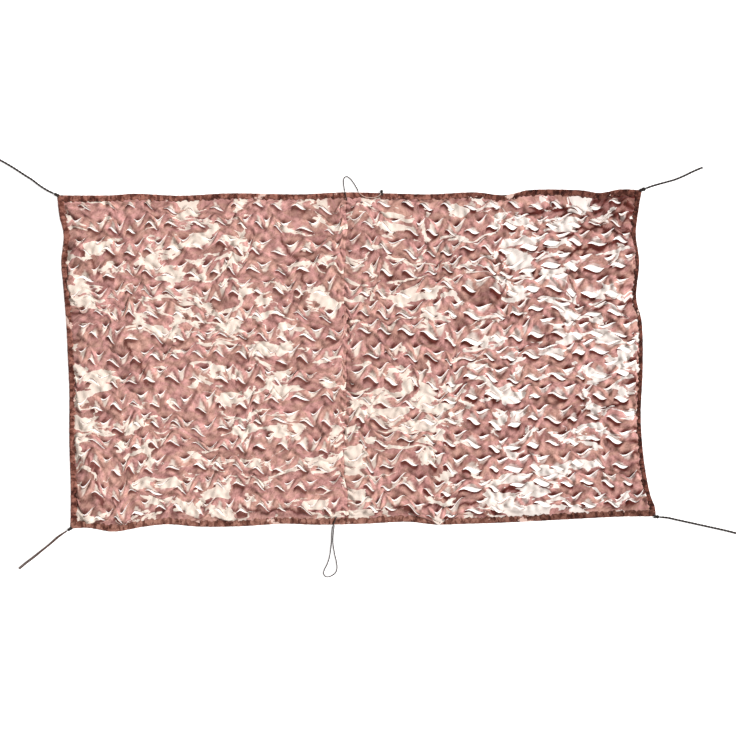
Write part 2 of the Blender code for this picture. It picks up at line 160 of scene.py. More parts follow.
# %% Mesh helpers
def mesh_from_faces(name, points, quads, uv=None):
    """A mesh from an array of points and an array of quads; uv has one pair for each point."""
    mesh = bpy.data.meshes.new(name)
    mesh.vertices.add(len(points))
    mesh.vertices.foreach_set("co", np.asarray(points, np.float32).ravel())
    mesh.loops.add(quads.size)
    mesh.loops.foreach_set("vertex_index", quads.ravel().astype(np.int32))
    mesh.polygons.add(len(quads))
    mesh.polygons.foreach_set("loop_start", np.arange(0, quads.size, 4, dtype=np.int32))
    if uv is not None:
        layer = mesh.uv_layers.new(name="flat")
        layer.uv.foreach_set("vector", uv[quads.ravel()].astype(np.float32).ravel())
    mesh.update(calc_edges=True)
    mesh.shade_smooth()
    return mesh


def piece(name, mesh, *materials):
    """An object at the origin that holds the mesh and its materials."""
    item = bpy.data.objects.new(name, mesh)
    bpy.context.scene.collection.objects.link(item)
    for material in materials:
        mesh.materials.append(material)
    return item

# %% [markdown]
# ## Shader helpers
# A material is a chain of nodes. These short functions add one node, feed its inputs by name
# and return what comes out, so that each material below reads as a recipe. An output knows the
# node tree that it is in, so a helper that is given one needs no material.

# %% Node helpers
def feed(target, value):
    """Give an input its value: an output is linked to it, and anything else is set on it."""
    if isinstance(value, bpy.types.NodeSocket):
        target.id_data.links.new(value, target)
    else:
        target.default_value = value


def in_use(sockets, name):
    """The socket of that name that is in use; a Mix node keeps one of each name for each type."""
    return next(s for s in sockets if s.name == name and s.enabled)


def add_node(tree, kind, settings=(), **inputs):
    """A new node in the tree, with its settings made and its named inputs fed."""
    node = tree.nodes.new(kind)
    for name, value in dict(settings).items():
        setattr(node, name, value)
    for name, value in inputs.items():
        feed(in_use(node.inputs, name.replace("_", " ")), value)
    return node


def math_node(operation, first, second=0.0):
    """The output of a Math node on two values, of which one at least is an output."""
    tree = next(v.id_data for v in (first, second) if isinstance(v, bpy.types.NodeSocket))
    node = add_node(tree, "ShaderNodeMath", {"operation": operation})
    feed(node.inputs[0], first)
    feed(node.inputs[1], second)
    return node.outputs[0]


def mix_colour(share, first, second, blend_type="MIX"):
    """The colour between two colours, each an output or red, green and blue."""
    node = add_node(share.id_data, "ShaderNodeMix", {"data_type": "RGBA", "blend_type": blend_type})
    for name, value in (("Factor", share), ("A", first), ("B", second)):
        feed(in_use(node.inputs, name), (*value, 1.0) if isinstance(value, tuple) else value)
    return next(s for s in node.outputs if s.enabled)


def ramp(value, low, high):
    """0 below low, 1 above high and smooth between them."""
    node = add_node(value.id_data, "ShaderNodeMapRange", {"interpolation_type": "SMOOTHSTEP"})
    for name, given in (("Value", value), ("From Min", low), ("From Max", high)):
        feed(node.inputs[name], given)
    return node.outputs["Result"]


def noise(place, scale, detail, roughness=0.5, cut_at=None):
    """Fractal noise at a place; cut_at takes it from another slice of noise in four dimensions."""
    settings, inputs = ({}, {}) if cut_at is None else ({"noise_dimensions": "4D"}, {"W": cut_at})
    return add_node(place.id_data, "ShaderNodeTexNoise", settings, Vector=place, Scale=scale,
                    Detail=detail, Roughness=roughness, **inputs).outputs["Fac"]


def stretched(place, scale, turn=0.0):
    """The place turned about Z and then scaled on each axis."""
    return add_node(place.id_data, "ShaderNodeMapping", Vector=place, Rotation=(0.0, 0.0, turn),
                    Scale=scale).outputs[0]


def coordinates(shader, kind="UV"):
    """Texture coordinates of one kind, in the shader's own tree."""
    return add_node(shader.id_data, "ShaderNodeTexCoord").outputs[kind]


def attribute(shader, name):
    """The value that the mesh holds under that name."""
    return add_node(shader.id_data, "ShaderNodeAttribute", {"attribute_name": name}).outputs["Fac"]


def bump(shader, height, strength, distance):
    """Bump the shader's surface by a height."""
    node = add_node(shader.id_data, "ShaderNodeBump", Height=height, Strength=strength, Distance=distance)
    feed(shader.inputs["Normal"], node.outputs["Normal"])


def new_material(name, roughness, sheen=0.0):
    """A material with its Principled shader, and that shader."""
    material = bpy.data.materials.new(name)
    material.use_nodes = True
    shader = material.node_tree.nodes["Principled BSDF"]
    shader.inputs["Roughness"].default_value = roughness
    shader.inputs["Sheen Weight"].default_value = sheen
    shader.inputs["Specular IOR Level"].default_value = 0.15
    return material, shader


# %% Where a piece belongs
def fit(item, node=None):
    """The piece rides on the net's one body, and the imported part of the node that it replaces is hidden."""
    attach(item, "root")
    if node:
        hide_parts(node)

# %% [markdown]
# ## Cords
# The ties are doubled cord: two laid strands turned round one another, about as thick as a
# pencil together. A tube is carried along the centre line, and its section has three soft lobes
# that turn as it goes, which is how a laid cord looks. The ends are closed by drawing the last
# rings in to a point. One tie has no cut ends, because its cord turns back in a bight.

# %% Tubes along a path
CLEARANCE = 0.0003
CORD = 0.004
TIE = 0.008
GROUND_GAP = 0.0002
CORD_LAY = 0.016
TIE_LAY = 0.034
CORD_SIDES = 12
FINE_POINTS = 600
# How far the strands' turn is held back, so that they lie side by side for longer.
SIDE_BY_SIDE = 0.38


def path_frame(path):
    """Distance along a path, and its sideways and upward directions, square to its tangent."""
    tangent = np.gradient(path, axis=0)
    tangent /= np.linalg.norm(tangent, axis=1)[:, None]
    side = np.cross(tangent, (0.0, 0.0, 1.0))
    side /= np.linalg.norm(side, axis=1)[:, None]
    along = np.concatenate([[0.0], np.cumsum(np.linalg.norm(np.diff(path, axis=0), axis=1))])
    return along, side, np.cross(side, tangent)


def even_path(route, spacing):
    """A smooth run through the route, at even spacing."""
    fine = smooth_run(route, np.linspace(0, 1, FINE_POINTS))
    along = path_frame(fine)[0]
    wanted = np.linspace(0, along[-1], round(along[-1] / spacing) + 1)
    return np.stack([np.interp(wanted, along, fine[:, k]) for k in range(3)], axis=1)


def cord_tube(path, radius, lay=CORD_LAY, closed=False):
    """Points and quads of a laid cord: at angle v and distance d the radius is
    radius (0.87 + 0.13 |cos(1.5 (v - 2 pi d / lay))|), and both ends round off over a radius."""
    along, side, up = path_frame(path)
    v = np.linspace(0, 2 * np.pi, CORD_SIDES, endpoint=False)
    turned = v[None, :] - 2 * np.pi * along[:, None] / lay
    swell = radius * (0.87 + 0.13 * np.abs(np.cos(1.5 * turned)))
    if not closed:
        from_end = np.minimum(along, along[-1] - along)[:, None]
        swell = swell * np.sqrt(1 - (1 - np.minimum(from_end / radius, 1.0)) ** 2)
    ring = np.cos(v)[None, :, None] * side[:, None, :] + np.sin(v)[None, :, None] * up[:, None, :]
    points = path[:, None, :] + swell[..., None] * ring
    index = np.arange(points[..., 0].size).reshape(points.shape[:2])
    here, there = (index, np.roll(index, -1, axis=0)) if closed else (index[:-1], index[1:])
    quads = np.stack([here, np.roll(here, -1, 1), np.roll(there, -1, 1), there], axis=-1)
    uv = np.stack([np.broadcast_to(along[:, None], swell.shape),
                   np.broadcast_to(v / (2 * np.pi), swell.shape)], axis=-1)
    return points.reshape(-1, 3), quads.reshape(-1, 4), uv.reshape(-1, 2)


def joined_tubes(name, tubes, *materials):
    """One piece from several tubes, with the points at their closed ends merged."""
    starts = np.cumsum([0] + [len(tube[0]) for tube in tubes[:-1]])
    quads = np.concatenate([tube[1] + start for tube, start in zip(tubes, starts)])
    mesh = mesh_from_faces(name, np.concatenate([tube[0] for tube in tubes]), quads,
                           np.concatenate([tube[2] for tube in tubes]))
    bm = bmesh.new()
    bm.from_mesh(mesh)
    bmesh.ops.remove_doubles(bm, verts=bm.verts, dist=1e-6)
    bmesh.ops.recalc_face_normals(bm, faces=bm.faces)
    bm.to_mesh(mesh)
    bm.free()
    return piece(name, mesh, *materials)


# %% [markdown]
# ## Ties, loops and knots
# Every tie starts in a knot hard against the corner of the binding and lies on the ground. Two
# short tubes come out of the fold to meet in the knot, so that it is seen to be held. A loop
# comes out over the binding, lies on the ground and goes back to it. A pale cord lies
# across the binding from the foot of the top loop to the stopper knot. The routes of the ties
# and loops are those of the imported solids, so that each cord keeps its true length.

# %% Routes of the ties and loops
TIES = {
    "top_left": {"corner": (0, 1), "knot": 0.0090, "end": "knot", "route": (
        (-1.574, 0.866), (-1.614, 0.891), (-1.655, 0.922), (-1.696, 0.948), (-1.737, 0.975),
        (-1.778, 1.000), (-1.818, 1.022), (-1.841, 1.030), (-1.863, 1.033))},
    "top_right": {"corner": (1, 1), "knot": 0.0115, "end": "bare", "route": (
        (1.507, 0.889), (1.548, 0.901), (1.589, 0.912), (1.629, 0.924), (1.670, 0.941),
        (1.711, 0.961), (1.752, 0.979), (1.767, 0.984))},
    "bottom_right": {"corner": (1, 0), "knot": 0.0100, "end": "knot", "route": (
        (1.588, -0.802), (1.629, -0.811), (1.670, -0.820), (1.711, -0.829), (1.752, -0.838),
        (1.793, -0.847), (1.834, -0.856), (1.874, -0.865), (1.915, -0.875), (1.955, -0.885),
        (1.977, -0.890))},
    "bottom_left": {"corner": (0, 0), "knot": 0.0085, "end": "bight", "route": (
        (-1.502, -0.886), (-1.523, -0.901), (-1.563, -0.936), (-1.604, -0.969),
        (-1.645, -1.002), (-1.686, -1.033), (-1.716, -1.058))},
}
LOOPS = {
    "loop_top": (
        (-0.049, 0.8145, 0.0063), (-0.0518, 0.8265, 0.0089), (-0.054, 0.836, 0.0095),
        (-0.056, 0.846, 0.0094), (-0.058, 0.8555, 0.0081), (-0.0605, 0.866, 0.005),
        (-0.063, 0.88, 0.0026), (-0.065, 0.897, 0.0022), (-0.066, 0.914, 0.0022),
        (-0.062, 0.931, 0.0022), (-0.049, 0.938, 0.0022), (-0.033, 0.928, 0.0022),
        (-0.017, 0.909, 0.0022), (-0.004, 0.888, 0.0022), (0.0055, 0.871, 0.0022),
        (0.009, 0.859, 0.0024)),
    "loop_bottom": (
        (-0.1015, -0.796, 0.0063), (-0.106, -0.8065, 0.0087), (-0.1095, -0.815, 0.0094),
        (-0.113, -0.824, 0.0095), (-0.1175, -0.8345, 0.0082), (-0.121, -0.845, 0.0052),
        (-0.124, -0.859, 0.0027), (-0.126, -0.886, 0.0022), (-0.127, -0.92, 0.0022),
        (-0.13, -0.945, 0.0022), (-0.134, -0.983, 0.0022), (-0.14, -1.012, 0.0022),
        (-0.151, -1.042, 0.0022), (-0.164, -1.068, 0.0022), (-0.167, -1.088, 0.0022),
        (-0.155, -1.102, 0.0022), (-0.138, -1.102, 0.0022), (-0.119, -1.093, 0.0022),
        (-0.104, -1.078, 0.0022), (-0.099, -1.056, 0.0022), (-0.103, -1.022, 0.0022),
        (-0.11, -0.993, 0.0022), (-0.116, -0.959, 0.0022), (-0.119, -0.94, 0.0022),
        (-0.12, -0.92, 0.0022), (-0.1185, -0.886, 0.0022), (-0.1155, -0.86, 0.0022),
        (-0.1135, -0.8386, 0.0024)),
}
# A pale cord that lies across the binding, from the foot of the top loop to the stopper knot.
CROSSING = (
    (0.009, 0.859, 0.0031), (0.016, 0.853, 0.0078), (0.0241, 0.845, 0.0096),
    (0.04, 0.8345, 0.01), (0.056, 0.8305, 0.0102), (0.08, 0.83, 0.0102),
    (0.1006, 0.833, 0.0102), (0.118, 0.843, 0.01), (0.124, 0.852, 0.009))
KNOT_HALF_HEIGHT, KNOT_SHOULDER, KNOT_SEAT = 0.0055, 0.866, 0.0004
NECK_TUCK, NECK_SPREAD, NECK_CLOSED, NECK_RADIUS = 0.014, 0.0055, 0.0020, 0.0042
NECK_RINGS, KNOT_RINGS = 12, 96
CORNER_STRAND, TIP_STRAND, STOPPER_STRAND = 0.0030, 0.0027, 0.0028
END_KNOT = 0.0080
STOPPER_KNOT, STOPPER_KNOT_SHARE, STOPPER_HEADING = 0.0085, 0.554, 1.2
STRAND_SPACING, FINE_SPACING = 0.0026, 0.0016
TIE_STRAND, TIE_SPREAD, TIE_FLATNESS = 0.80 * CORD, 0.58 * CORD, 0.3
CROSSING_RADIUS, CROSSING_LAY = 0.0018, 0.008
# The loops are drawn a third thicker than their own cord, so that they show from high above.
LOOP_RADIUS, LOOP_LAY, LOOP_LIFT = 0.74 * CORD, 0.011, 0.0009


# %% Cord materials
def cord_material(name, dark, light):
    """Laid cord: two tones of fibre mixed by fine stretched noise, with a faint bump."""
    material, shader = new_material(name, 0.7, 0.2)
    fibre = noise(stretched(coordinates(shader), (500.0, 9.0, 1.0)), 1.0, 3.0)
    feed(shader.inputs["Base Color"], mix_colour(ramp(fibre, 0.35, 0.65), dark, light))
    bump(shader, fibre, 0.5, 0.0004)
    return material


dark_cord = cord_material("dark_cord", (0.012, 0.009, 0.008), (0.042, 0.032, 0.028))
olive_cord = cord_material("olive_cord", (0.050, 0.029, 0.024), (0.150, 0.090, 0.072))
grey_cord = cord_material("grey_cord", (0.022, 0.015, 0.014), (0.070, 0.052, 0.048))
knot_cord = cord_material("knot_cord", (0.010, 0.007, 0.006), (0.040, 0.028, 0.024))
pale_cord = cord_material("pale_cord", (0.42, 0.27, 0.22), (0.80, 0.62, 0.54))


def declare_cord(item, path):
    """Print the cord's name and its length along its path."""
    length = float(path_frame(path)[0][-1])
    print(item.name, round(length, 3), "m")


# %% Knots
def neck(edge, centre, outward):
    """The cord where it leaves the corner for its knot: two tubes side by side on the straight
    line from inside the binding to the knot's middle, closing up on the way."""
    share = np.linspace(0, 1, NECK_RINGS)[:, None]
    line = (edge - NECK_TUCK * outward) * (1 - share) + centre * share
    apart = (NECK_SPREAD * (1 - share) + NECK_CLOSED * share) * (-outward[1], outward[0])
    height = np.full((NECK_RINGS, 1), KNOT_HALF_HEIGHT + GROUND_GAP)
    return [cord_tube(np.hstack([line + sign * apart, height]), NECK_RADIUS) for sign in (1, -1)]


def knot(name, node, centre, heading, radius, strand, extra=()):
    """A pulled-tight overhand knot: a tube on the line of a trefoil, which at angle v runs at
    (R + r cos 3v) round the middle twice and at height h sin 3v, pressed flat on the ground."""
    v = np.linspace(0, 2 * np.pi, KNOT_RINGS, endpoint=False)
    small = 0.36 * (radius - strand)
    reach = radius - strand - small + small * np.cos(3 * v)
    rise = (KNOT_HALF_HEIGHT - strand) * np.sin(3 * v)
    path = np.stack([reach * np.cos(2 * v + heading), reach * np.sin(2 * v + heading), rise], axis=1)
    path += (centre[0], centre[1], KNOT_HALF_HEIGHT + GROUND_GAP)
    made = joined_tubes(name, [cord_tube(path, strand, closed=True), *extra], knot_cord)
    fit(made, node)
    return made


# %% Ties
def tie_strands(path, bight):
    """Lines of the two strands, half a turn apart round the path and pressed flat. In a bight
    they hardly turn, spread towards the end and join there round a half circle."""
    along, side, up = path_frame(path)
    turn = 2 * np.pi * along / TIE_LAY
    turn = turn - SIDE_BY_SIDE * np.sin(2 * turn)
    spread = TIE_SPREAD * np.ones_like(along)
    if bight:
        share = along / along[-1]
        turn = 0.10 * turn * (1 - 0.75 * blend((share - 0.3) / 0.5))
        turn = turn - turn[-1]
        spread = spread * (1.25 + 0.2 * blend((share - 0.4) / 0.4))
    rise = TIE_FLATNESS * np.minimum(spread, 0.5 * CORD) * np.sin(turn)
    apart = (spread * np.cos(turn))[:, None] * side + rise[:, None] * up
    strands = [path + sign * apart for sign in (1, -1)]
    if bight:
        angle = np.linspace(0, np.pi, 7)[1:-1, None]
        onward = np.cross(up[-1], side[-1])
        arc = path[-1] + spread[-1] * (np.cos(angle) * side[-1] + np.sin(angle) * onward)
        strands = [np.concatenate([strands[0], arc, strands[1][::-1]])]
    return strands


def tie(corner, row, material):
    """The corner knot, the doubled cord, and the knot at its end where it has one."""
    edge = net_point(*row["corner"])
    outward = np.subtract(row["route"][0], edge)
    outward /= np.linalg.norm(outward)
    centre = edge + outward * (KNOT_SHOULDER * row["knot"] + KNOT_SEAT)
    knots = [knot("corner_knot_" + corner, "knot_" + corner, centre,
                  math.atan2(outward[1], outward[0]), row["knot"], CORNER_STRAND,
                  neck(edge, centre, outward))]
    lying = 0.5 * TIE + GROUND_GAP
    start = centre + outward * (row["knot"] + CLEARANCE)
    path = even_path([(*start, lying)] + [(x, y, lying) for x, y in row["route"]], STRAND_SPACING)
    tubes = [cord_tube(strand, TIE_STRAND) for strand in tie_strands(path, row["end"] == "bight")]
    made = joined_tubes("cord_tie_" + corner, tubes, material)
    fit(made, "tie_" + corner)
    if row["end"] == "knot":
        onward = np.subtract(row["route"][-1], row["route"][-2])
        onward /= np.linalg.norm(onward)
        beyond = np.array(row["route"][-1]) + onward * (END_KNOT + CLEARANCE)
        knots.append(knot("tip_knot_" + corner, "end_knot_" + corner, beyond,
                          math.atan2(onward[1], onward[0]), END_KNOT, TIP_STRAND))
    declare_cord(made, path)


for corner, row in TIES.items():
    tie(corner, row, olive_cord if corner == "bottom_left" else dark_cord)


# %% Loops, the crossing cord and the stopper knot
foot = net_point(STOPPER_KNOT_SHARE, 1.0)
centre = foot + (0.0, KNOT_SHOULDER * STOPPER_KNOT + KNOT_SEAT)
knot("stopper", "stopper_knot", centre, STOPPER_HEADING, STOPPER_KNOT, STOPPER_STRAND,
     neck(foot, centre, np.array([0.0, 1.0])))
path = even_path(CROSSING, FINE_SPACING)
crossing = joined_tubes("crossing_cord", [cord_tube(path, CROSSING_RADIUS, CROSSING_LAY)], pale_cord)
fit(crossing)
declare_cord(crossing, path)

for loop_name, route in LOOPS.items():
    path = even_path(route, FINE_SPACING) + (0.0, 0.0, LOOP_LIFT)
    loop = joined_tubes("cord_" + loop_name, [cord_tube(path, LOOP_RADIUS, LOOP_LAY)], grey_cord)
    fit(loop, loop_name)
    declare_cord(loop, path)

# %% [markdown]
# ## The printed cloth
# Thin polyester, woven plain, printed in brown with cream splashes and then cut. The print is
# made from noise on the flat cloth's own coordinates: a splash runs along the middle line of
# one noise, and a second noise makes it swell and taper, so it ends in spikes. Other noises push
# the place about, which frays the edge, and a stretch along the length lays the splashes flat.
# Two values that the mesh carries are laid over the print: painted shade down in the cuts, and a
# painted highlight on the crests, where the light would wash the print out to cream.

# %% Printed cloth material
# Further along the right panel the cream is painted paler, as painted brighter light, and the splashes there
# are thinner.
CREAM, GLARE_CREAM = (0.87, 0.745, 0.65), (0.89, 0.81, 0.76)
GLARE_FROM, GLARE_TO, GLARE_THINNING = 7.55, 8.35, 0.030
PINK_BROWN, TAN_BROWN = (0.71, 0.372, 0.345), (0.65, 0.374, 0.305)
DEEP_BROWN, SHADE_BROWN = (0.27, 0.110, 0.085), (0.15, 0.050, 0.040)
PALE_REVERSE, BROWN_REVERSE = (0.79, 0.67, 0.60), (0.54, 0.29, 0.24)
SPLASH_LEAST, SPLASH_WIDTH, SPLASH_EDGE = 0.466, 0.52, 0.004
BANDS_IN_A_METRE = 0.314


def pushed(place, scale, reach):
    """The place moved about by noise of one scale, by up to half of reach each way."""
    tree = place.id_data
    cloud = add_node(tree, "ShaderNodeTexNoise", Vector=place, Scale=scale, Detail=3.0)
    centred = add_node(tree, "ShaderNodeVectorMath", {"operation": "MULTIPLY_ADD"})
    feed(centred.inputs[0], cloud.outputs["Color"])
    feed(centred.inputs[1], (reach, reach, 0.0))
    feed(centred.inputs[2], (-reach / 2, -reach / 2, 0.0))
    moved = add_node(tree, "ShaderNodeVectorMath", {"operation": "ADD"})
    feed(moved.inputs[0], place)
    feed(moved.inputs[1], centred.outputs[0])
    return moved.outputs[0]


def along_cloth(flat):
    """Distance along the cloth's length."""
    return add_node(flat.id_data, "ShaderNodeSeparateXYZ", Vector=flat).outputs["X"]


def print_with_painted_light(shader):
    """Colour of the print, two near browns with deeper mottling under cream splashes, with a painted
    highlight on the lips' crests and painted shade in the cuts and folds laid over it.
    """
    flat = coordinates(shader)
    place = pushed(pushed(stretched(flat, (0.50, 1.0, 1.0)), 15.0, 0.15), 52.0, 0.036)
    from_line = math_node("ABSOLUTE", math_node("SUBTRACT", noise(place, 9.0, 1.5), 0.5))
    drift = math_node("MULTIPLY", math_node("SUBTRACT", noise(flat, 2.1, 1.0), 0.5), 0.60)
    fullness = math_node("ADD", noise(place, 16.0, 1.0, cut_at=1.3), drift)
    # Painted brighter light: far along the right panel the cream is paler, and the splashes are thinner.
    glare_and_thinner_splashes = ramp(along_cloth(flat), GLARE_FROM, GLARE_TO)
    least = math_node("ADD", math_node("MULTIPLY", glare_and_thinner_splashes, GLARE_THINNING), SPLASH_LEAST)
    width = math_node("MULTIPLY", math_node("SUBTRACT", fullness, least), SPLASH_WIDTH)
    cream = ramp(math_node("SUBTRACT", width, from_line), 0.0, SPLASH_EDGE)
    tone = ramp(noise(place, 26.0, 4.0, 0.6, cut_at=3.7), 0.42, 0.58)
    deep = math_node("MULTIPLY", ramp(noise(flat, 75.0, 4.0, 0.7), 0.46, 0.62), 0.45)
    ground = mix_colour(deep, mix_colour(tone, PINK_BROWN, TAN_BROWN), DEEP_BROWN)
    splash = mix_colour(glare_and_thinner_splashes, CREAM, GLARE_CREAM)
    pale = attribute(shader, "painted_highlight")
    print_and_highlight = mix_colour(pale, mix_colour(cream, ground, splash), splash)
    # Painted shade: the cut_shade value darkens the colour, less on cream and on the painted highlight.
    light = math_node("MULTIPLY", math_node("MAXIMUM", cream, pale), 0.85)
    cut = math_node("MULTIPLY", attribute(shader, "cut_shade"), math_node("SUBTRACT", 1.0, light))
    return mix_colour(cut, print_and_highlight, SHADE_BROWN, "MULTIPLY")


def weave(shader, place, thread, depth):
    """Plain weave: two sets of bands at right angles, one thread wide, as a bump."""
    bands = [add_node(place.id_data, "ShaderNodeTexWave", {"bands_direction": direction},
                      Vector=place, Scale=BANDS_IN_A_METRE / thread, Distortion=0.4,
                      Detail=1.0).outputs["Fac"] for direction in "XY"]
    bump(shader, math_node("MAXIMUM", *bands), 0.6, depth)


cloth_material, cloth_shader = new_material("printed_cloth", 0.8, 0.04)
reverse_material, reverse_shader = new_material("cloth_reverse", 0.85, 0.03)
reverse_colour = mix_colour(attribute(reverse_shader, "lip_tone"), PALE_REVERSE, BROWN_REVERSE)
for shader, colour in ((cloth_shader, print_with_painted_light(cloth_shader)), (reverse_shader, reverse_colour)):
    feed(shader.inputs["Base Color"], colour)
    weave(shader, coordinates(shader), 0.0008, 0.00012)
print("print nodes:", len(cloth_material.node_tree.nodes))

# %% [markdown]
# ## The leaf-cut cloth
# The cloth is slit in rows. Each slit is a leaf: in one row its tip points down, in the next it
# points up, half a pitch along. Pulled across its rows, the cloth opens along each slit, most
# on the slit's long right arm. The leaf inside stays low and the lip outside it rolls back, so
# that the pale reverse of the cloth shows beside the gap. The cloth could be simulated, but a
# formula for the roll is far quicker and each slit can be made uneven on its own.

# %% Sizes of the leaf cuts
CLOTH, BINDING_CLOTH, TUCK = 0.0006, 0.0015, 0.012
MOUTH = {"left": 0.038, "right": 0.034, "bottom": 0.040, "top": 0.040}
SEAM_MARGIN, SEAM_LAP, LAP_RISE = 0.010, 0.004, 0.0018
ROWS, END_BAND = 29, 0.55
COLUMN, PITCH_COLUMNS = 0.0073, 15
SLIT_COLUMNS = {"left": 10, "right": 12}
BAND_SHARES = np.array([0.0, 0.13, 0.26, 0.42, 0.58, 0.74, 0.87])
# Rise of a row's line along one pitch, at shares of the pitch; the slit ends at share 0.67.
LINE_SHARES = (0.0, 0.21, 0.66, 1.0)
LEAF_LINES = (
    {"line": (-0.006, -0.021, 0.015, -0.006), "opening": 0.0032, "turned": 0.0098, "moved": 0},
    {"line": (0.006, 0.016, -0.013, 0.006), "opening": 0.0085, "turned": 0.0090, "moved": 7},
)
# How far a slit stands open, at positions from its left end, -1, to its right end, 1.
TIP_DOWN_LENS = ((-1.0, -0.5, -0.1, 1.0), (0.0, 0.9, 1.0, 0.0))
TIP_UP_LENS = ((-1.0, -0.5, 0.0, 0.3, 1.0), (0.0, 0.25, 1.0, 0.9, 0.0))
# How much wider slits of each kind stand where the cloth is pulled, and the widest of all.
PULLED_DOWN, PULLED_UP, WIDEST = 0.011, 0.025, 0.034
# Ridges of pulled cloth: share of the pitch at a bridge's middle, half width in pitches, height.
BRIDGE_AT, RIDGE_WIDTH, RIDGE_HEIGHT = 0.83, 0.095, 0.0050
# Painted shade for each leaf's slant and on the ridge flanks.
FACETS, FACET_SHADE, FLANK_SHADE, FLANK_SET = 251, 0.45, 0.30, 0.13
# Strength, reach and fade of the painted highlight on the crests of turned lips.
EDGE_PALENESS, CAP_REACH, CAP_FADE = 0.95, 0.040, 0.007
NEAR_SHADE, FAR_SHADE, CREASE_DEPTH = 0.90, 1.0, 1.5
BEHIND_DEPTH, BEHIND_AT, BEHIND_WIDTH = 35, 0.026, 0.008
# Height of the pleats where the cloth is sewn, and the height that no fold passes.
GATHER, HIGHEST = 0.0055, 0.044
WANDER, ROUGHNESS, LIFT_OFF = 0.013, 0.0030, 0.003
# The right panel's print starts this far on, so that the two are cut from different lengths.
RIGHT_PRINT_FROM = 7.3
SWELLS = ((0.62, 12, 0.4, 0.0034), (0.41, 68, 2.1, 0.0030), (0.27, 145, 4.0, 0.0022))
# Ends of each fold's ridge, half its width, its height, and the side that its painted crease shade is on.
FOLDS = (
    ((0.71, 0.37), (1.16, 0.67), 0.055, 0.016, -1),
    ((-1.20, 0.10), (-1.07, -0.14), 0.050, 0.014, -1),
    ((-0.93, -0.737), (-0.10, -0.750), 0.045, 0.009, 1),
    ((0.03, -0.737), (0.67, -0.711), 0.045, 0.010, 1),
    ((0.84, 0.768), (1.15, 0.786), 0.040, 0.010, 1),
    ((-1.40, -0.45), (-1.31, -0.76), 0.050, 0.011, -1),
    ((0.70, -0.66), (0.86, -0.58), 0.045, 0.011, 1),
    ((1.00, 0.50), (1.38, 0.60), 0.040, 0.012, -1),
    ((0.95, 0.15), (1.30, 0.32), 0.045, 0.011, 1),
    ((1.02, -0.28), (1.36, -0.20), 0.040, 0.010, 1),
    ((-0.40, 0.62), (-0.22, 0.30), 0.045, 0.009, -1),
    ((1.05, 0.80), (1.40, 0.75), 0.030, 0.010, 1),
    ((1.10, 0.70), (1.42, 0.66), 0.030, 0.010, 1),
    ((-1.45, 0.60), (-1.32, 0.42), 0.035, 0.010, -1),
)


def bell(distance, half_width):
    """exp(-d d) of the distance d in half widths."""
    return np.exp(-((distance / half_width) ** 2))


def beside(x, y, start, end):
    """Share along the line from start to end, distance across it, and the line's length."""
    run = np.subtract(end, start)
    length = math.hypot(*run)
    share = ((x - start[0]) * run[0] + (y - start[1]) * run[1]) / length**2
    return share, ((x - start[0]) * run[1] - (y - start[1]) * run[0]) / length, length


def lie_height(x, y):
    """Height of the laid cloth: a sum of sine swells, cut off at the ground, plus the highest
    fold, each fold a bell of the distance to its ridge."""
    swell, fold = np.zeros_like(x), np.zeros_like(x)
    for length, heading, phase, height in SWELLS:
        turn = math.radians(heading)
        along = x * math.cos(turn) + y * math.sin(turn)
        swell += height * wave(along, length, phase)
    for start, end, half_width, height, _ in FOLDS:
        share, across, length = beside(x, y, start, end)
        past = length * (share - np.clip(share, 0.0, 1.0))
        fold = np.maximum(fold, height * bell(np.hypot(across, past), half_width))
    return np.maximum(swell, 0.0) + fold


def crease_shade(x, y):
    """Depth of shade along each fold's lower side: a bell of the distance to a line set off
    from the ridge, which wavers as a hand-made crease does, and fades at the fold's ends."""
    total = np.zeros_like(x)
    for start, end, half_width, _, side in FOLDS:
        share, across, length = beside(x, y, start, end)
        waver = 0.010 * np.sin(share * length * 31) + 0.006 * np.sin(share * length * 83)
        ends = blend(share / 0.15 + 0.3) * blend((1 - share) / 0.15 + 0.3)
        total = np.maximum(total, ends * bell(across - side * 0.45 * half_width - waver, 0.0065))
    return total


def crumple(x, y, rng, waves, shortest, longest):
    """Fine unevenness: a sum of sine waves of mixed headings, each as high as its length."""
    total = np.zeros_like(x)
    for length, heading, phase in zip(np.geomspace(shortest, longest, waves),
                                      rng.random(waves) * np.pi, rng.random(waves) * 2 * np.pi):
        along = x * np.cos(heading) + y * np.sin(heading)
        total += length * wave(along, length, phase)
    return total / (longest * math.sqrt(waves) * 0.35)


def gathers(x, y, from_end, from_side, from_seam):
    """Pleats from -1 to 1 where the cloth is sewn: sines of the way along the sewn edge, with a
    slow wander, that die away from the binding's ends and sides, and a finer set at the seam."""
    along_end = wave(y, 0.062, 2.2 * np.sin(y * 11) + x * 40)
    along_side = wave(x, 0.071, 2.4 * np.sin(x * 9 + 1) + y * 45)
    along_seam = wave(y, 0.047, 2.0 * np.sin(y * 13 + 2) + x * 30)
    strength = 0.5 + 0.5 * np.sin(x * 7.3 + y * 5.1)
    end = np.exp(-np.maximum(from_end - 0.034, 0.0) / 0.060)
    side = 0.8 * strength * np.exp(-np.maximum(from_side - 0.038, 0.0) / 0.035)
    return along_end * end + along_side * side * (1 - end), along_seam * np.exp(-from_seam / 0.028)


# %% Where the slits are and how each one opens
UNEVEN = ("opening", "turned", "rise", "shade", "tight", "tone", "wide", "moved", "long")


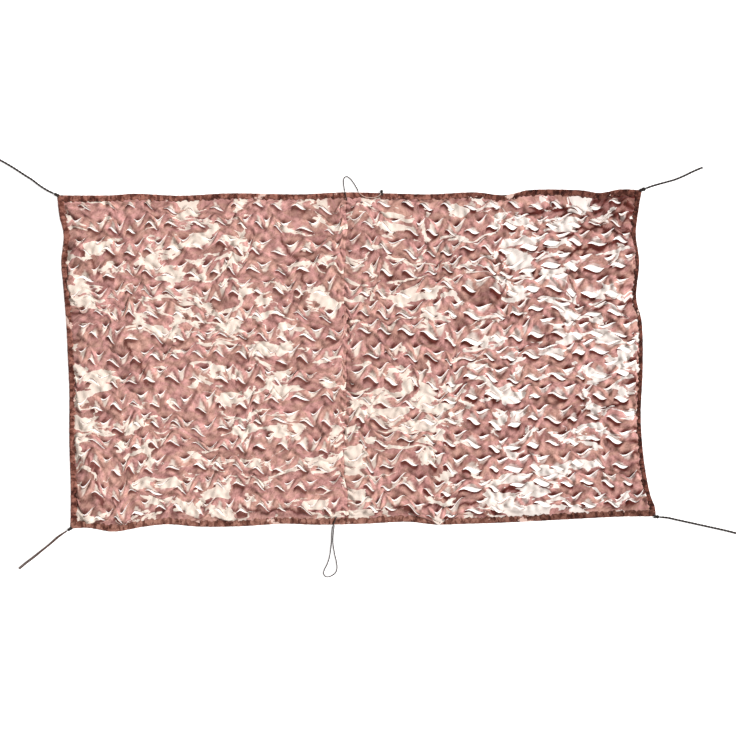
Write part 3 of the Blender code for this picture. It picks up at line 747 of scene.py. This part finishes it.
def slit_fields(columns, slit, rng):
    """For each row line and column: position a in its slit from -1 to 1 (2 outside one), the
    row line's rise, and the slit's own opening and roll, uneven from slit to slit."""
    rows, cols = np.meshgrid(np.arange(ROWS + 2), np.arange(columns + 1), indexing="ij")
    kind = rows % 2
    of_kind = {name: np.take([k[name] for k in LEAF_LINES], kind) for name in ("moved", "opening", "turned")}
    number, phase = np.divmod(cols - of_kind["moved"], PITCH_COLUMNS)
    number = number + 1
    counts = (ROWS + 2, number.max() + 2)
    uneven = {name: rng.random(counts)[rows, number] for name in UNEVEN}
    a = np.where(phase <= slit, 2 * phase / slit - 1, 2.0)
    inside = (cols >= 2) & (cols <= columns - 2) & (rows > 0) & (rows < ROWS + 1)
    long = np.where(kind == 0, 0.58, 0.68) + 0.30 * uneven["long"]
    a = np.where(inside, (a - np.where(kind == 0, -0.25, 0.1) * (1 - long)) / long, 2.0)
    share = phase / PITCH_COLUMNS
    line = np.zeros(share.shape)
    for k, (start, end) in enumerate(zip(LINE_SHARES, LINE_SHARES[1:])):
        low, high = (np.take([leaf["line"][at] for leaf in LEAF_LINES], kind) for at in (k, k + 1))
        rise = low + (high - low) * blend((share - start) / (end - start))
        line = np.where((share >= start) & (share <= end), rise, line)
    line = line * (0.72 + 0.56 * uneven["rise"]) + 0.010 * (uneven["moved"] - 0.5) * np.sin(np.pi * share)
    return {"a": a, "line": line, "tip_down": kind == 0, "phase": share,
            "place": (cols - of_kind["moved"]) / PITCH_COLUMNS,
            "opening": of_kind["opening"] * (0.55 + 1.2 * uneven["opening"] ** 1.8),
            "turned": of_kind["turned"] * (1.25 - 1.0 * uneven["turned"] ** 1.6),
            "shade": 0.5 + 1.1 * uneven["shade"], "pale": 0.25 + 0.75 * uneven["tight"],
            "tight": 0.2 + 1.6 * uneven["tight"], "wide": 0.2 + 1.3 * uneven["wide"] ** 1.2,
            "tone": np.where(kind == 0, 0.05 + 0.75 * uneven["tone"], 0.6 * uneven["tone"] ** 2)}


def panel_columns(side):
    """Shares of one panel's own length where its columns lie, and its length."""
    seam = 0.5 * (SEAM_AT_BOTTOM + SEAM_AT_TOP)
    length = NET_LENGTH * (seam if side == "left" else 1 - seam)
    columns = round((length - MOUTH[side] - SEAM_MARGIN) / COLUMN)
    shares = np.linspace(MOUTH[side] / length, 1 - SEAM_MARGIN / length, columns + 1)
    at_seam = 1 + SEAM_LAP / length if side == "left" else 1 - 0.5 * CLEARANCE / length
    shares = np.concatenate([[TUCK / length], shares, [at_seam]])
    return (shares if side == "left" else 1 - shares[::-1]), length, columns


def pulled_open(side, own):
    """How far the cloth is pulled open at each row line and column: not at all in the left
    panel, and in the right one more from its middle on, less near the top and bottom edges."""
    rows = np.linspace(0, 1, ROWS + 2)[:, None]
    if side == "left":
        return np.zeros((ROWS + 2, len(own)))
    inner = 0.35 + 0.65 * blend(rows / 0.12) * blend((1 - rows) / 0.2)
    return blend((own - 0.22) / 0.45) * inner * (0.85 + 0.35 * np.sin(9 * own + 7 * rows + 2))


# %% Lips turned back
LIP_REACH, FOLD_DRAWN, FLAP_LYING = 0.032, 0.35, 0.88


def lip_offsets(flat, turned, opening, outward):
    """Offsets along y and z of the cloth at flat distances from a slit's edge. A width of
    cloth is turned back over a fold, so its points come to lie at the fold plus their flat
    distance from it; the cloth behind the fold is drawn out to meet it, up to the reach. The
    opening then draws both away from the slit, and fades over the same reach."""
    fold = FOLD_DRAWN * turned
    beyond = np.maximum(flat - turned, 0.0)
    flap = np.maximum(turned - flat, 0.0)
    inward = fold + FLAP_LYING * flap + beyond * (LIP_REACH - fold) / (LIP_REACH - turned)
    fade = np.clip(1 - flat / LIP_REACH, 0.0, 1.0)
    near = flat < LIP_REACH
    back = np.where(near, inward - flat, 0.0) + opening * fade
    height = 0.42 * turned * np.clip(1 - beyond / (LIP_REACH - turned), 0.0, 1.0)
    height = height + 0.30 * np.minimum(flap, 0.5 * turned)
    return -outward * back, np.where(near, height, 0.0)


# %% The bands between the row lines
def bands(field, pulled, height, columns, rng):
    """Six values at each share of each band and at each column: offsets along y and z, the
    flat line's rise, and the painted shade, the lip's tone and the painted highlight. Between two
    row lines the flat place is mixed linearly from the lower line to the upper one; then each lip
    rolls or sinks, and the strip bulges by a parabola, higher where its lips leave it slack."""
    a, down = field["a"], field["tip_down"]

    def below(value, other=0.0):
        """The value on each band's lower line, where the band holds that line's lip."""
        return np.where(down, other, value)[:-1]

    def above(value, other=0.0):
        """The value on each band's upper line, where the band holds that line's lip."""
        return np.where(down, value, other)[1:]

    col = np.arange(columns + 1)
    ease = blend(col / 2) * blend((columns - col) / 2)
    lens = np.where(down, np.interp(a, *TIP_DOWN_LENS), np.interp(a, *TIP_UP_LENS))
    lens = lens + 0.6 * pulled * (np.maximum(1 - a * a, 0.0) - lens)
    lens = lens * np.clip(np.minimum(col - 1, columns - 1 - col) / 3, 0.0, 1.0)
    line = field["line"] * ease * (1 - 0.45 * pulled)
    line[0] = line[-1] = 0.0
    opening = field["opening"] * lens + np.where(down, PULLED_DOWN, PULLED_UP) * pulled * lens * field["wide"]
    opening = WIDEST * np.tanh(opening / WIDEST)
    turned = field["turned"] * np.minimum(1.25 * lens, 1.0) * (1 - 0.55 * pulled)

    shares = np.append(BAND_SHARES, 1.0)[:, None, None]
    flat_up, flat_down = shares * height, (1 - shares) * height
    y_low, z_low = lip_offsets(flat_up, below(turned), below(0.3, 0.4) * opening[:-1], -1.0)
    y_high, z_high = lip_offsets(flat_down, above(turned), above(0.6, 0.7) * opening[1:], 1.0)
    flat_y = (1 - shares) * line[:-1] + shares * line[1:]
    slack = (opening[:-1] + opening[1:]) * 0.5 + 0.5 * (below(turned) + above(turned))
    lying = np.clip(shares + (y_low + y_high) / height, 0.0, 1.0)
    bulge = 4 * lying * (1 - lying) * (0.0035 + 0.25 * np.sqrt(slack * 0.030)) * ease
    # The pull runs slantwise from bridge to bridge and raises a ridge both ways.
    slants = [sign * 0.5 * lying for sign in (-1, 1)]
    phase = field["phase"][:-1] - BRIDGE_AT
    off_ridge, off_flank = ([np.mod(phase + slant + 0.5 + aside, 1.0) - 0.5 for slant in slants]
                            for aside in (0.0, FLANK_SET))
    tightness = 0.5 * (field["tight"][:-1] + field["tight"][1:])
    ridge = np.maximum(*(bell(off, RIDGE_WIDTH) for off in off_ridge)) * tightness
    # Painted shade on the flank of each ridge, set off to the side away from the key light.
    flank = np.maximum(*(bell(off, 0.06) for off in off_flank)) * tightness
    # Painted shade for each leaf's slant: each leaf between the ridges lies at its own slant, so it is
    #     painted a shade of its own, a random one, picked by a number that is made from its row and
    #     from where it stands on both slants.
    lean = [np.floor(field["place"][:-1] - BRIDGE_AT + slant).astype(int) for slant in slants]
    leaf_number = 7 * lean[0] + 13 * lean[1] + 29 * np.arange(ROWS + 1)[:, None]
    facet = rng.random(FACETS)[leaf_number % FACETS] ** 1.5

    # How deep the shade lies in the folds: beside the leaf, most in its tip, and behind a flap.
    tip = np.where(np.abs(a) < 1, bell(a + 0.3, 0.35), 0.0)
    arm = np.interp(a, (-1.0, -0.7, 0.4, 1.0), (0.5, 1.0, 1.0, 0.2)) * (np.abs(a) <= 1)
    leaf = field["shade"] * np.where(down, 1.7 * tip + 0.45 * lens, 1.55 * arm) * (1 + 0.6 * pulled)
    behind = BEHIND_DEPTH * field["shade"] * turned
    shade = (np.where(down[:-1], leaf[:-1] * bell(flat_up, 0.012),
                      behind[:-1] * bell(flat_up - BEHIND_AT, BEHIND_WIDTH))
             + np.where(down[1:], behind[1:] * bell(flat_down - BEHIND_AT, BEHIND_WIDTH),
                        leaf[1:] * bell(flat_down, 0.0165)))
    # Painted highlight: the crest of a turned lip catches the light, so its print is painted washed out to
    # cream.
    crest_highlight = EDGE_PALENESS * np.minimum(1.5 * lens, 1.0) * (1 - 0.4 * pulled)
    cap = turned + CAP_REACH * lens ** 1.5 * field["pale"]
    pale = (below(crest_highlight) * (1 - blend((flat_up - cap[:-1]) / CAP_FADE + 0.5))
            + above(crest_highlight) * (1 - blend((flat_down - cap[1:]) / CAP_FADE + 0.5)))
    return np.stack([y_low + y_high + flat_y, z_low + z_high + bulge + RIDGE_HEIGHT * ridge * ease, flat_y,
                     shade + FACET_SHADE * facet + FLANK_SHADE * flank,
                     np.where(shares < 0.5, below(field["tone"]), above(field["tone"])), pale])


# %% One panel of cloth
def panel(side, seed):
    """The cloth of one panel: its bands are set on the lines from the bottom to the top, laid on
    the ground's swells and folds, and cut by giving each row line a second set of points."""
    rng = np.random.default_rng(seed)
    own, length, columns = panel_columns(side)
    low, high = MOUTH["bottom"] / NET_WIDTH, 1 - MOUTH["top"] / NET_WIDTH
    height = np.ones(ROWS + 1)
    height[[0, -1]] = END_BAND
    height = (height * (high - low) * NET_WIDTH / height.sum())[:, None]
    steps = len(BAND_SHARES)
    slits = slit_fields(columns, SLIT_COLUMNS[side], rng)
    pulled = pulled_open(side, own[1:-1])
    band = bands(slits, pulled, height, columns, rng)

    # The lines: the tucked edge, each share of each band, the last row line, the other edge.
    last = 1 + (ROWS + 1) * steps
    fields = np.zeros((6, 2, last + 2, columns + 3))
    fields[:, :, 1:last, 1:-1] = band[:, :-1].swapaxes(1, 2).reshape(6, 1, last - 1, columns + 1)
    fields[3][..., [0, -1]] = fields[3][..., [1, -2]]
    under = slice(1 + steps, last + 1, steps)
    fields[:, 0, under, 1:-1] = band[:, -1]
    move_y, move_z, cut_y, shade, tone, pale = fields
    within = (np.cumsum(height)[:, None] - (1 - BAND_SHARES) * height) / NET_WIDTH
    t = np.concatenate([[TUCK / NET_WIDTH], low + within.ravel(), [high, 1 - TUCK / NET_WIDTH]])

    seam = SEAM_AT_BOTTOM + (SEAM_AT_TOP - SEAM_AT_BOTTOM) * t[:, None]
    ground = net_point(own * seam if side == "left" else seam + own * (1 - seam), t[:, None])
    from_end = (own if side == "left" else 1 - own) * length
    from_side = np.minimum(t, 1 - t)[:, None] * NET_WIDTH
    from_seam = length - from_end
    free = blend((from_end - 0.034) / 0.016) * blend((from_side - 0.038) / 0.016)
    near_seam = blend(from_seam / 0.05)
    wander = [crumple(ground[..., 0], ground[..., 1], rng, 10, 0.12, 0.60) for _ in range(2)]
    x = ground[..., 0] + WANDER * wander[0] * free * near_seam
    y = ground[..., 1] + WANDER * wander[1] * free * near_seam + move_y
    x = np.broadcast_to(x, y.shape)
    lie = lie_height(x, y)
    rough = ROUGHNESS * crumple(x, y, rng, 24, 0.022, 0.085)
    rough = rough * (1 + 0.6 * np.exp(-from_end / 0.14) + 0.5 * np.pad(pulled.mean(axis=0), 1))
    pleat, seam_pleat = gathers(ground[..., 0], ground[..., 1], from_end, from_side, from_seam)
    # Painted shade in the valleys of the pleats, of the seam's pleats and along the creases.
    shade = shade + 0.8 * np.maximum(-pleat, 0.0) ** 1.5 + 0.9 * np.maximum(-seam_pleat, 0.0) ** 2
    shade = shade + CREASE_DEPTH * crease_shade(x, y)
    pleat = pleat + seam_pleat
    # Painted shade over the crumpled top right corner of the right panel.
    if side == "right":
        shade = shade + 0.45 * blend((own - 0.70) / 0.2) * blend((t[:, None] - 0.82) / 0.10)
    seam_wave = (0.0020 * np.sin(t * 60) + 0.0015 * np.sin(t * 131 + 1))[:, None]
    seam_wander = (0.005 * np.sin(t * 23) + 0.0035 * np.sin(t * 71 + 1))[:, None]
    x = x + seam_wander * (1 - blend(from_seam / 0.06)) * free
    laid = np.maximum(lie + LIFT_OFF + rough * near_seam + seam_wave * (1 - near_seam), 0.0)
    lap = LAP_RISE * np.clip((SEAM_MARGIN - from_seam) / (SEAM_MARGIN + SEAM_LAP), 0.0, 1.0)
    raised = laid + np.maximum(move_z, 0.0) + (lap if side == "left" else 0.0)
    raised = HIGHEST * np.tanh((raised + GATHER * np.maximum(pleat, -0.5)) / HIGHEST)
    raised = np.maximum(raised, 0.0)
    z = (BINDING_CLOTH + 2 * CLEARANCE) * (1 - free) + (raised + CLOTH) * free + CLEARANCE
    points = np.stack([x, y, z], axis=-1)

    split = np.zeros(t.shape + own.shape, bool)
    split[under, 1:-1] = (np.abs(slits["a"]) < 1)[1:]
    first = np.arange(split.size).reshape(split.shape)
    second = np.where(split, split.size + np.cumsum(split).reshape(split.shape) - 1, first)
    quads = np.stack([second[:-1, :-1], second[:-1, 1:], first[1:, 1:], first[1:, :-1]], axis=-1)

    def with_second(values, again):
        """Values at every point, and then those at the second points of the slits."""
        return np.concatenate([values.reshape(split.size, -1), again[split].reshape(split.sum(), -1)])

    flat = np.stack(np.broadcast_arrays(own * length, t[:, None] * NET_WIDTH + cut_y[1]), axis=-1)
    flat = flat + (0.0 if side == "left" else RIGHT_PRINT_FROM)
    mesh = mesh_from_faces("cloth_" + side, with_second(*points), quads.reshape(-1, 4),
                           with_second(flat, flat))
    darker = NEAR_SHADE + (FAR_SHADE - NEAR_SHADE) * (blend(own / 0.35) if side == "right" else 0.0)
    shade = np.clip(shade, 0.0, 1.0) * darker
    for name, values in (("cut_shade", shade), ("lip_tone", tone), ("painted_highlight", pale)):
        mesh.attributes.new(name, "FLOAT", "POINT").data.foreach_set(
            "value", with_second(*values).astype(np.float32).ravel())
    cloth = piece("cloth_" + side, mesh, cloth_material, reverse_material)
    thicken = cloth.modifiers.new("thickness", "SOLIDIFY")
    thicken.thickness, thicken.offset = CLOTH, 1.0
    thicken.material_offset, thicken.material_offset_rim = 1, 0
    print(cloth.name, len(mesh.polygons), "quads,", int(split.sum()), "points on slits")
    return cloth


cloths = {side: panel(side, seed) for side, seed in (("left", 11), ("right", 12))}
for side, cloth in cloths.items():
    fit(cloth, "panel_" + side)

# %% [markdown]
# ## The folded binding
# A strip of darker cloth is folded over each edge of the net and sewn through. Its section runs
# in along the ground, round the outer fold and back over the top to a turned-in edge, and is
# carried along the edge of the net. Waves and slanting puckers make it uneven, as sewing does.

# %% Binding strips
BINDING_WIDTHS = {
    "top": (0.034, 0.030, 0.036), "bottom": (0.036, 0.032, 0.032),
    "left": (0.034, 0.030, 0.034), "right": (0.030, 0.020, 0.026),
}
BINDING_THICK = 0.0006
BINDING_STEP = 0.006
STITCH_PITCH, STITCH_LENGTH, THREAD = 0.0052, 0.0040, 0.0005
STITCH_ROW = 12
STRIP_TUCK = 0.010


def strip_width(side, u):
    """Width at shares u of the strip: it changes over the end quarters."""
    start, middle, end = BINDING_WIDTHS[side]
    return middle + (start - middle) * blend(1 - 4 * u) + (end - middle) * blend(4 * u - 3)


def binding(side, stations, strip_length, place_of, seed, material):
    """The strip at stations and section shares v: v below 0 is the lower leg, 0 to 1 the fold,
    1 to 2 the top and above 2 the turned-in edge. Depth and height are read off a table."""
    rng = np.random.default_rng(seed)
    u = (stations - stations[0]) / (stations[-1] - stations[0])
    along = stations * strip_length
    phase = rng.random(8) * 2 * np.pi

    def ripples(height, times, *lengths):
        """Waves of these lengths along the strip, each of that height and its own phase."""
        return sum(height * wave(along, length, times * phase[k]) for k, length in enumerate(lengths))

    waves = ripples(0.0009, 1, 0.31, 0.137, 0.083, 0.052)
    ragged = ripples(0.0022, 5, 0.091, 0.049, 0.031, 0.021)
    width = strip_width(side, u) + 0.5 * waves + ragged
    v = np.array([-1.0, -0.5, 0.0, 0.25, 0.5, 0.75, 1.0, 1.12, 1.25, 1.4, 1.55, 1.7, 1.85, 2.0, 2.12])
    depth_share = np.interp(v, [-1, 0, 1, 2, 2.12], [0.96, 0.08, 0.08, 1.0, 0.97])
    fold = np.where((v > 0) & (v < 1), np.sin(np.pi * np.clip(v, 0, 1)), 0.0)
    depth = width[:, None] * (depth_share - 0.08 * fold)
    drawn = 0.25 * (0.0033 + ripples(0.0011, 3, 0.067, 0.037, 0.023))
    depth = depth + drawn[:, None] * np.interp(v, [-1.0, 0.0, 1.0, 2.0], [0.0, 1.0, 1.0, 0.0])
    flat_height = np.interp(v, [-1, 0, 0.5, 1, 1.3, 1.9, 2, 2.12],
                            [0.0004, 0.0004, 0.0026, 0.0049, 0.0062, 0.0058, 0.0048, 0.0033])
    on_top = np.interp(v, [0.5, 1.0, 1.5, 2.0, 2.12], [0.0, 0.5, 1.0, 0.5, 0.0])
    grown = along[:, None] + 0.8 * depth * (1 if side in ("top", "left") else -1)
    strength = 0.5 + 0.5 * wave(along, 0.21, phase[5])[:, None]
    pucker = 0.0005 * strength * (wave(grown, 0.026, phase[6]) + 0.7 * wave(grown, 0.017, phase[7]))
    height = flat_height + on_top * (0.45 * waves[:, None] + pucker)
    ends = np.minimum(along - along[0], along[-1] - along)
    closing = np.sqrt(1 - (1 - np.minimum(ends / 0.004, 1.0)) ** 2)
    height = 0.0004 + (height - 0.0004) * (0.25 + 0.75 * closing[:, None])
    if side in ("left", "right"):
        tucked = blend((STRIP_TUCK + 0.006 - ends) / 0.008)[:, None]
        height = height * (1 - tucked) + (0.0017 + 0.32 * (height - 0.0004)) * tucked
    ground = place_of(np.broadcast_to(stations[:, None], depth.shape), depth)
    points = np.concatenate([ground, height[..., None]], axis=-1)
    index = np.arange(depth.size).reshape(depth.shape)
    quads = np.stack([index[:-1, :-1], index[:-1, 1:], index[1:, 1:], index[1:, :-1]], axis=-1)
    if side in ("bottom", "right"):
        quads = quads[..., ::-1]
    uv = np.stack([np.broadcast_to(along[:, None], depth.shape), v[None, :] * width[:, None]], axis=-1)
    mesh = mesh_from_faces("edge_" + side, points.reshape(-1, 3), quads.reshape(-1, 4), uv.reshape(-1, 2))
    strip = piece("edge_" + side, mesh, material)
    thicken = strip.modifiers.new("thickness", "SOLIDIFY")
    thicken.thickness, thicken.offset = BINDING_THICK, -1.0
    fit(strip, "binding_" + side)
    print(strip.name, len(mesh.polygons), "quads")
    return strip, points[:, STITCH_ROW]


def stitches(name, row, material):
    """A row of stitches along an array of points. Each is a thread of four rings of four points,
    at shares 0, 1/3, 2/3 and 1 of its length, thin and sunk at its ends and raised between."""
    along = np.concatenate([[0.0], np.cumsum(np.linalg.norm(np.diff(row, axis=0), axis=1))])
    count = int(along[-1] / STITCH_PITCH)
    at = (np.arange(count)[:, None] + 0.5) * STITCH_PITCH + np.linspace(-0.5, 0.5, 4) * STITCH_LENGTH
    middle = np.stack([np.interp(at, along, row[:, k]) for k in range(3)], axis=-1)
    heading = middle[:, -1:] - middle[:, :1]
    heading = heading / np.linalg.norm(heading, axis=-1, keepdims=True)
    level = np.cross((0.0, 0.0, 1.0), heading)
    level = level / np.linalg.norm(level, axis=-1, keepdims=True)
    up = np.cross(heading, level)
    radius = THREAD * np.array([0.45, 1.0, 1.0, 0.45])[:, None, None]
    corners = np.array([[1, 0], [0, 1], [-1, 0], [0, -1]], float)
    lift = THREAD * np.array([-0.7, 0.5, 0.5, -0.7])[:, None]
    ring = corners[:, :1] * level[:, :, None] + corners[:, 1:] * up[:, :, None]
    points = middle[:, :, None] + radius * ring + (lift * up)[:, :, None]
    k = np.arange(4)
    here, turned = (4 * np.arange(3)[:, None] + way for way in (k, (k + 1) % 4))
    walls = np.stack([here, here + 4, turned + 4, turned], axis=-1).reshape(-1, 4)
    one = np.concatenate([walls, [[0, 1, 2, 3]], [[15, 14, 13, 12]]])
    quads = (one[None] + 16 * np.arange(count)[:, None, None]).reshape(-1, 4)
    made = piece(name, mesh_from_faces(name, points.reshape(-1, 3), quads), material)
    fit(made)
    return made


# Tint of the painted shade in the binding's diagonal fold lines, the darkening of its far end, and its pale
# patches of print.
FOLD_SHADE_TINT, FAR_END_DARK, PALE_PATCH = (0.22, 0.12, 0.10), (0.42, 0.33, 0.30), (0.72, 0.50, 0.43)


def binding_cloth(name, dark, light, cream_from):
    """The binding's print, two browns in small blots with a few pale stretches, with painted shade in
    diagonal fold lines and darker towards the far end.
    """
    material, shader = new_material(name, 0.85, 0.04)
    place = coordinates(shader)
    ground = mix_colour(ramp(noise(place, 24.0, 4.0, 0.65), 0.40, 0.60), dark, light)
    # Painted shade: dark diagonal lines where the binding is folded.
    fold_line_shade = ramp(noise(stretched(place, (42.0, 15.0, 1.0), 0.75), 1.0, 4.0, 0.6), 0.50, 0.58)
    ground = mix_colour(math_node("MULTIPLY", fold_line_shade, 0.8), ground, FOLD_SHADE_TINT, "MULTIPLY")
    darker = math_node("MULTIPLY", ramp(along_cloth(place), 1.8, 2.5), 0.75)
    ground = mix_colour(darker, ground, FAR_END_DARK, "MULTIPLY")
    pale = ramp(noise(place, 8.0, 4.0, 0.6), cream_from, cream_from + 0.02)
    feed(shader.inputs["Base Color"], mix_colour(pale, ground, PALE_PATCH))
    weave(shader, place, 0.0010, 0.00018)
    return material


dark_binding = binding_cloth("dark_binding", (0.120, 0.036, 0.025), (0.380, 0.160, 0.120), 0.60)
deep_binding = binding_cloth("deep_binding", (0.045, 0.012, 0.008), (0.200, 0.070, 0.050), 0.64)
brown_binding = binding_cloth("brown_binding", (0.170, 0.065, 0.045), (0.420, 0.205, 0.155), 0.60)
thread_material, thread_shader = new_material("brown_thread", 0.7, 0.2)
twist = noise(coordinates(thread_shader, "Object"), 900.0, 2.0)
feed(thread_shader.inputs["Base Color"], mix_colour(twist, (0.10, 0.04, 0.03), (0.36, 0.18, 0.13)))


def between_long_strips(end):
    """First and last share of a side strip, which is tucked into the long ones at that end."""
    low, high = BINDING_WIDTHS["bottom"][end], BINDING_WIDTHS["top"][end]
    return (low - STRIP_TUCK) / NET_WIDTH, 1 - (high - STRIP_TUCK) / NET_WIDTH


edge_places = {
    "top": ((0.0, 1.0), NET_LENGTH, lambda s, depth: net_point(s, 1 - depth / NET_WIDTH), dark_binding),
    "bottom": ((0.0, 1.0), NET_LENGTH, lambda s, depth: net_point(s, depth / NET_WIDTH), brown_binding),
    "left": (between_long_strips(0), NET_WIDTH, lambda t, depth: net_point(depth / NET_LENGTH, t),
             dark_binding),
    "right": (between_long_strips(2), NET_WIDTH, lambda t, depth: net_point(1 - depth / NET_LENGTH, t),
              deep_binding),
}
strips, rows = {}, {}
for seed, (side, ((first, last), length, place_of, material)) in enumerate(edge_places.items(), 40):
    stations = np.linspace(first, last, round(length * (last - first) / BINDING_STEP) + 1)
    strips[side], row = binding(side, stations, length, place_of, seed, material)
    rows[side] = stitches("stitches_" + side, row[4:-4], thread_material)
print("stitched rows:", len(rows))

# %% [markdown]
# ## What the cloth is
# The lips, creases and pleats take up cloth, so each panel is cut larger than it lies. A binding
# strip is twice as wide as it lies, and a little more for its turned-in edges. The cell below only
# takes the length of the edge along which each binding strip runs.

# %% Cloth facts
for side, strip in strips.items():
    length = NET_LENGTH if side in ("top", "bottom") else NET_WIDTH

# %% [markdown]
# ## Floor and light
# A plain near-white floor under even light. Two wide suns and a pale sky give the same light
# everywhere on the floor, and the lower sun rakes the lips of the cuts so that they show.

# %% Floor, suns and sky
FLOOR_SIZE = 90.0
corner = FLOOR_SIZE / 2
floor_mesh = mesh_from_faces(
    "floor", np.array([(-corner, -corner, -0.0006), (corner, -corner, -0.0006),
                       (corner, corner, -0.0006), (-corner, corner, -0.0006)]), np.array([[0, 1, 2, 3]]))
floor_material, floor_shader = new_material("pale_floor", 0.9)
floor_shader.inputs["Base Color"].default_value = (0.90, 0.90, 0.90, 1.0)
floor_shader.inputs["Emission Color"].default_value = (1.0, 1.0, 1.0, 1.0)
floor_shader.inputs["Emission Strength"].default_value = 0.62
floor = piece("floor", floor_mesh, floor_material)


def sun(name, azimuth, elevation, strength, softness):
    """A sun from an azimuth, counted from +X towards +Y, and an elevation, in degrees."""
    light = bpy.data.lights.new(name, "SUN")
    light.energy, light.angle = strength, math.radians(softness)
    item = bpy.data.objects.new(name, light)
    item.rotation_euler = (0.0, math.radians(90 - elevation), math.radians(azimuth))
    bpy.context.scene.collection.objects.link(item)
    return item


sun("key_light", 12, 35, 4.2, 6)
sun("fill_light", 150, 60, 0.25, 40)
world = bpy.data.worlds.new("studio")
world.use_nodes = True
world.node_tree.nodes["Background"].inputs["Color"].default_value = (1.0, 0.93, 0.89, 1.0)
world.node_tree.nodes["Background"].inputs["Strength"].default_value = 0.33
bpy.context.scene.world = world
bpy.context.scene.view_settings.view_transform = "Standard"
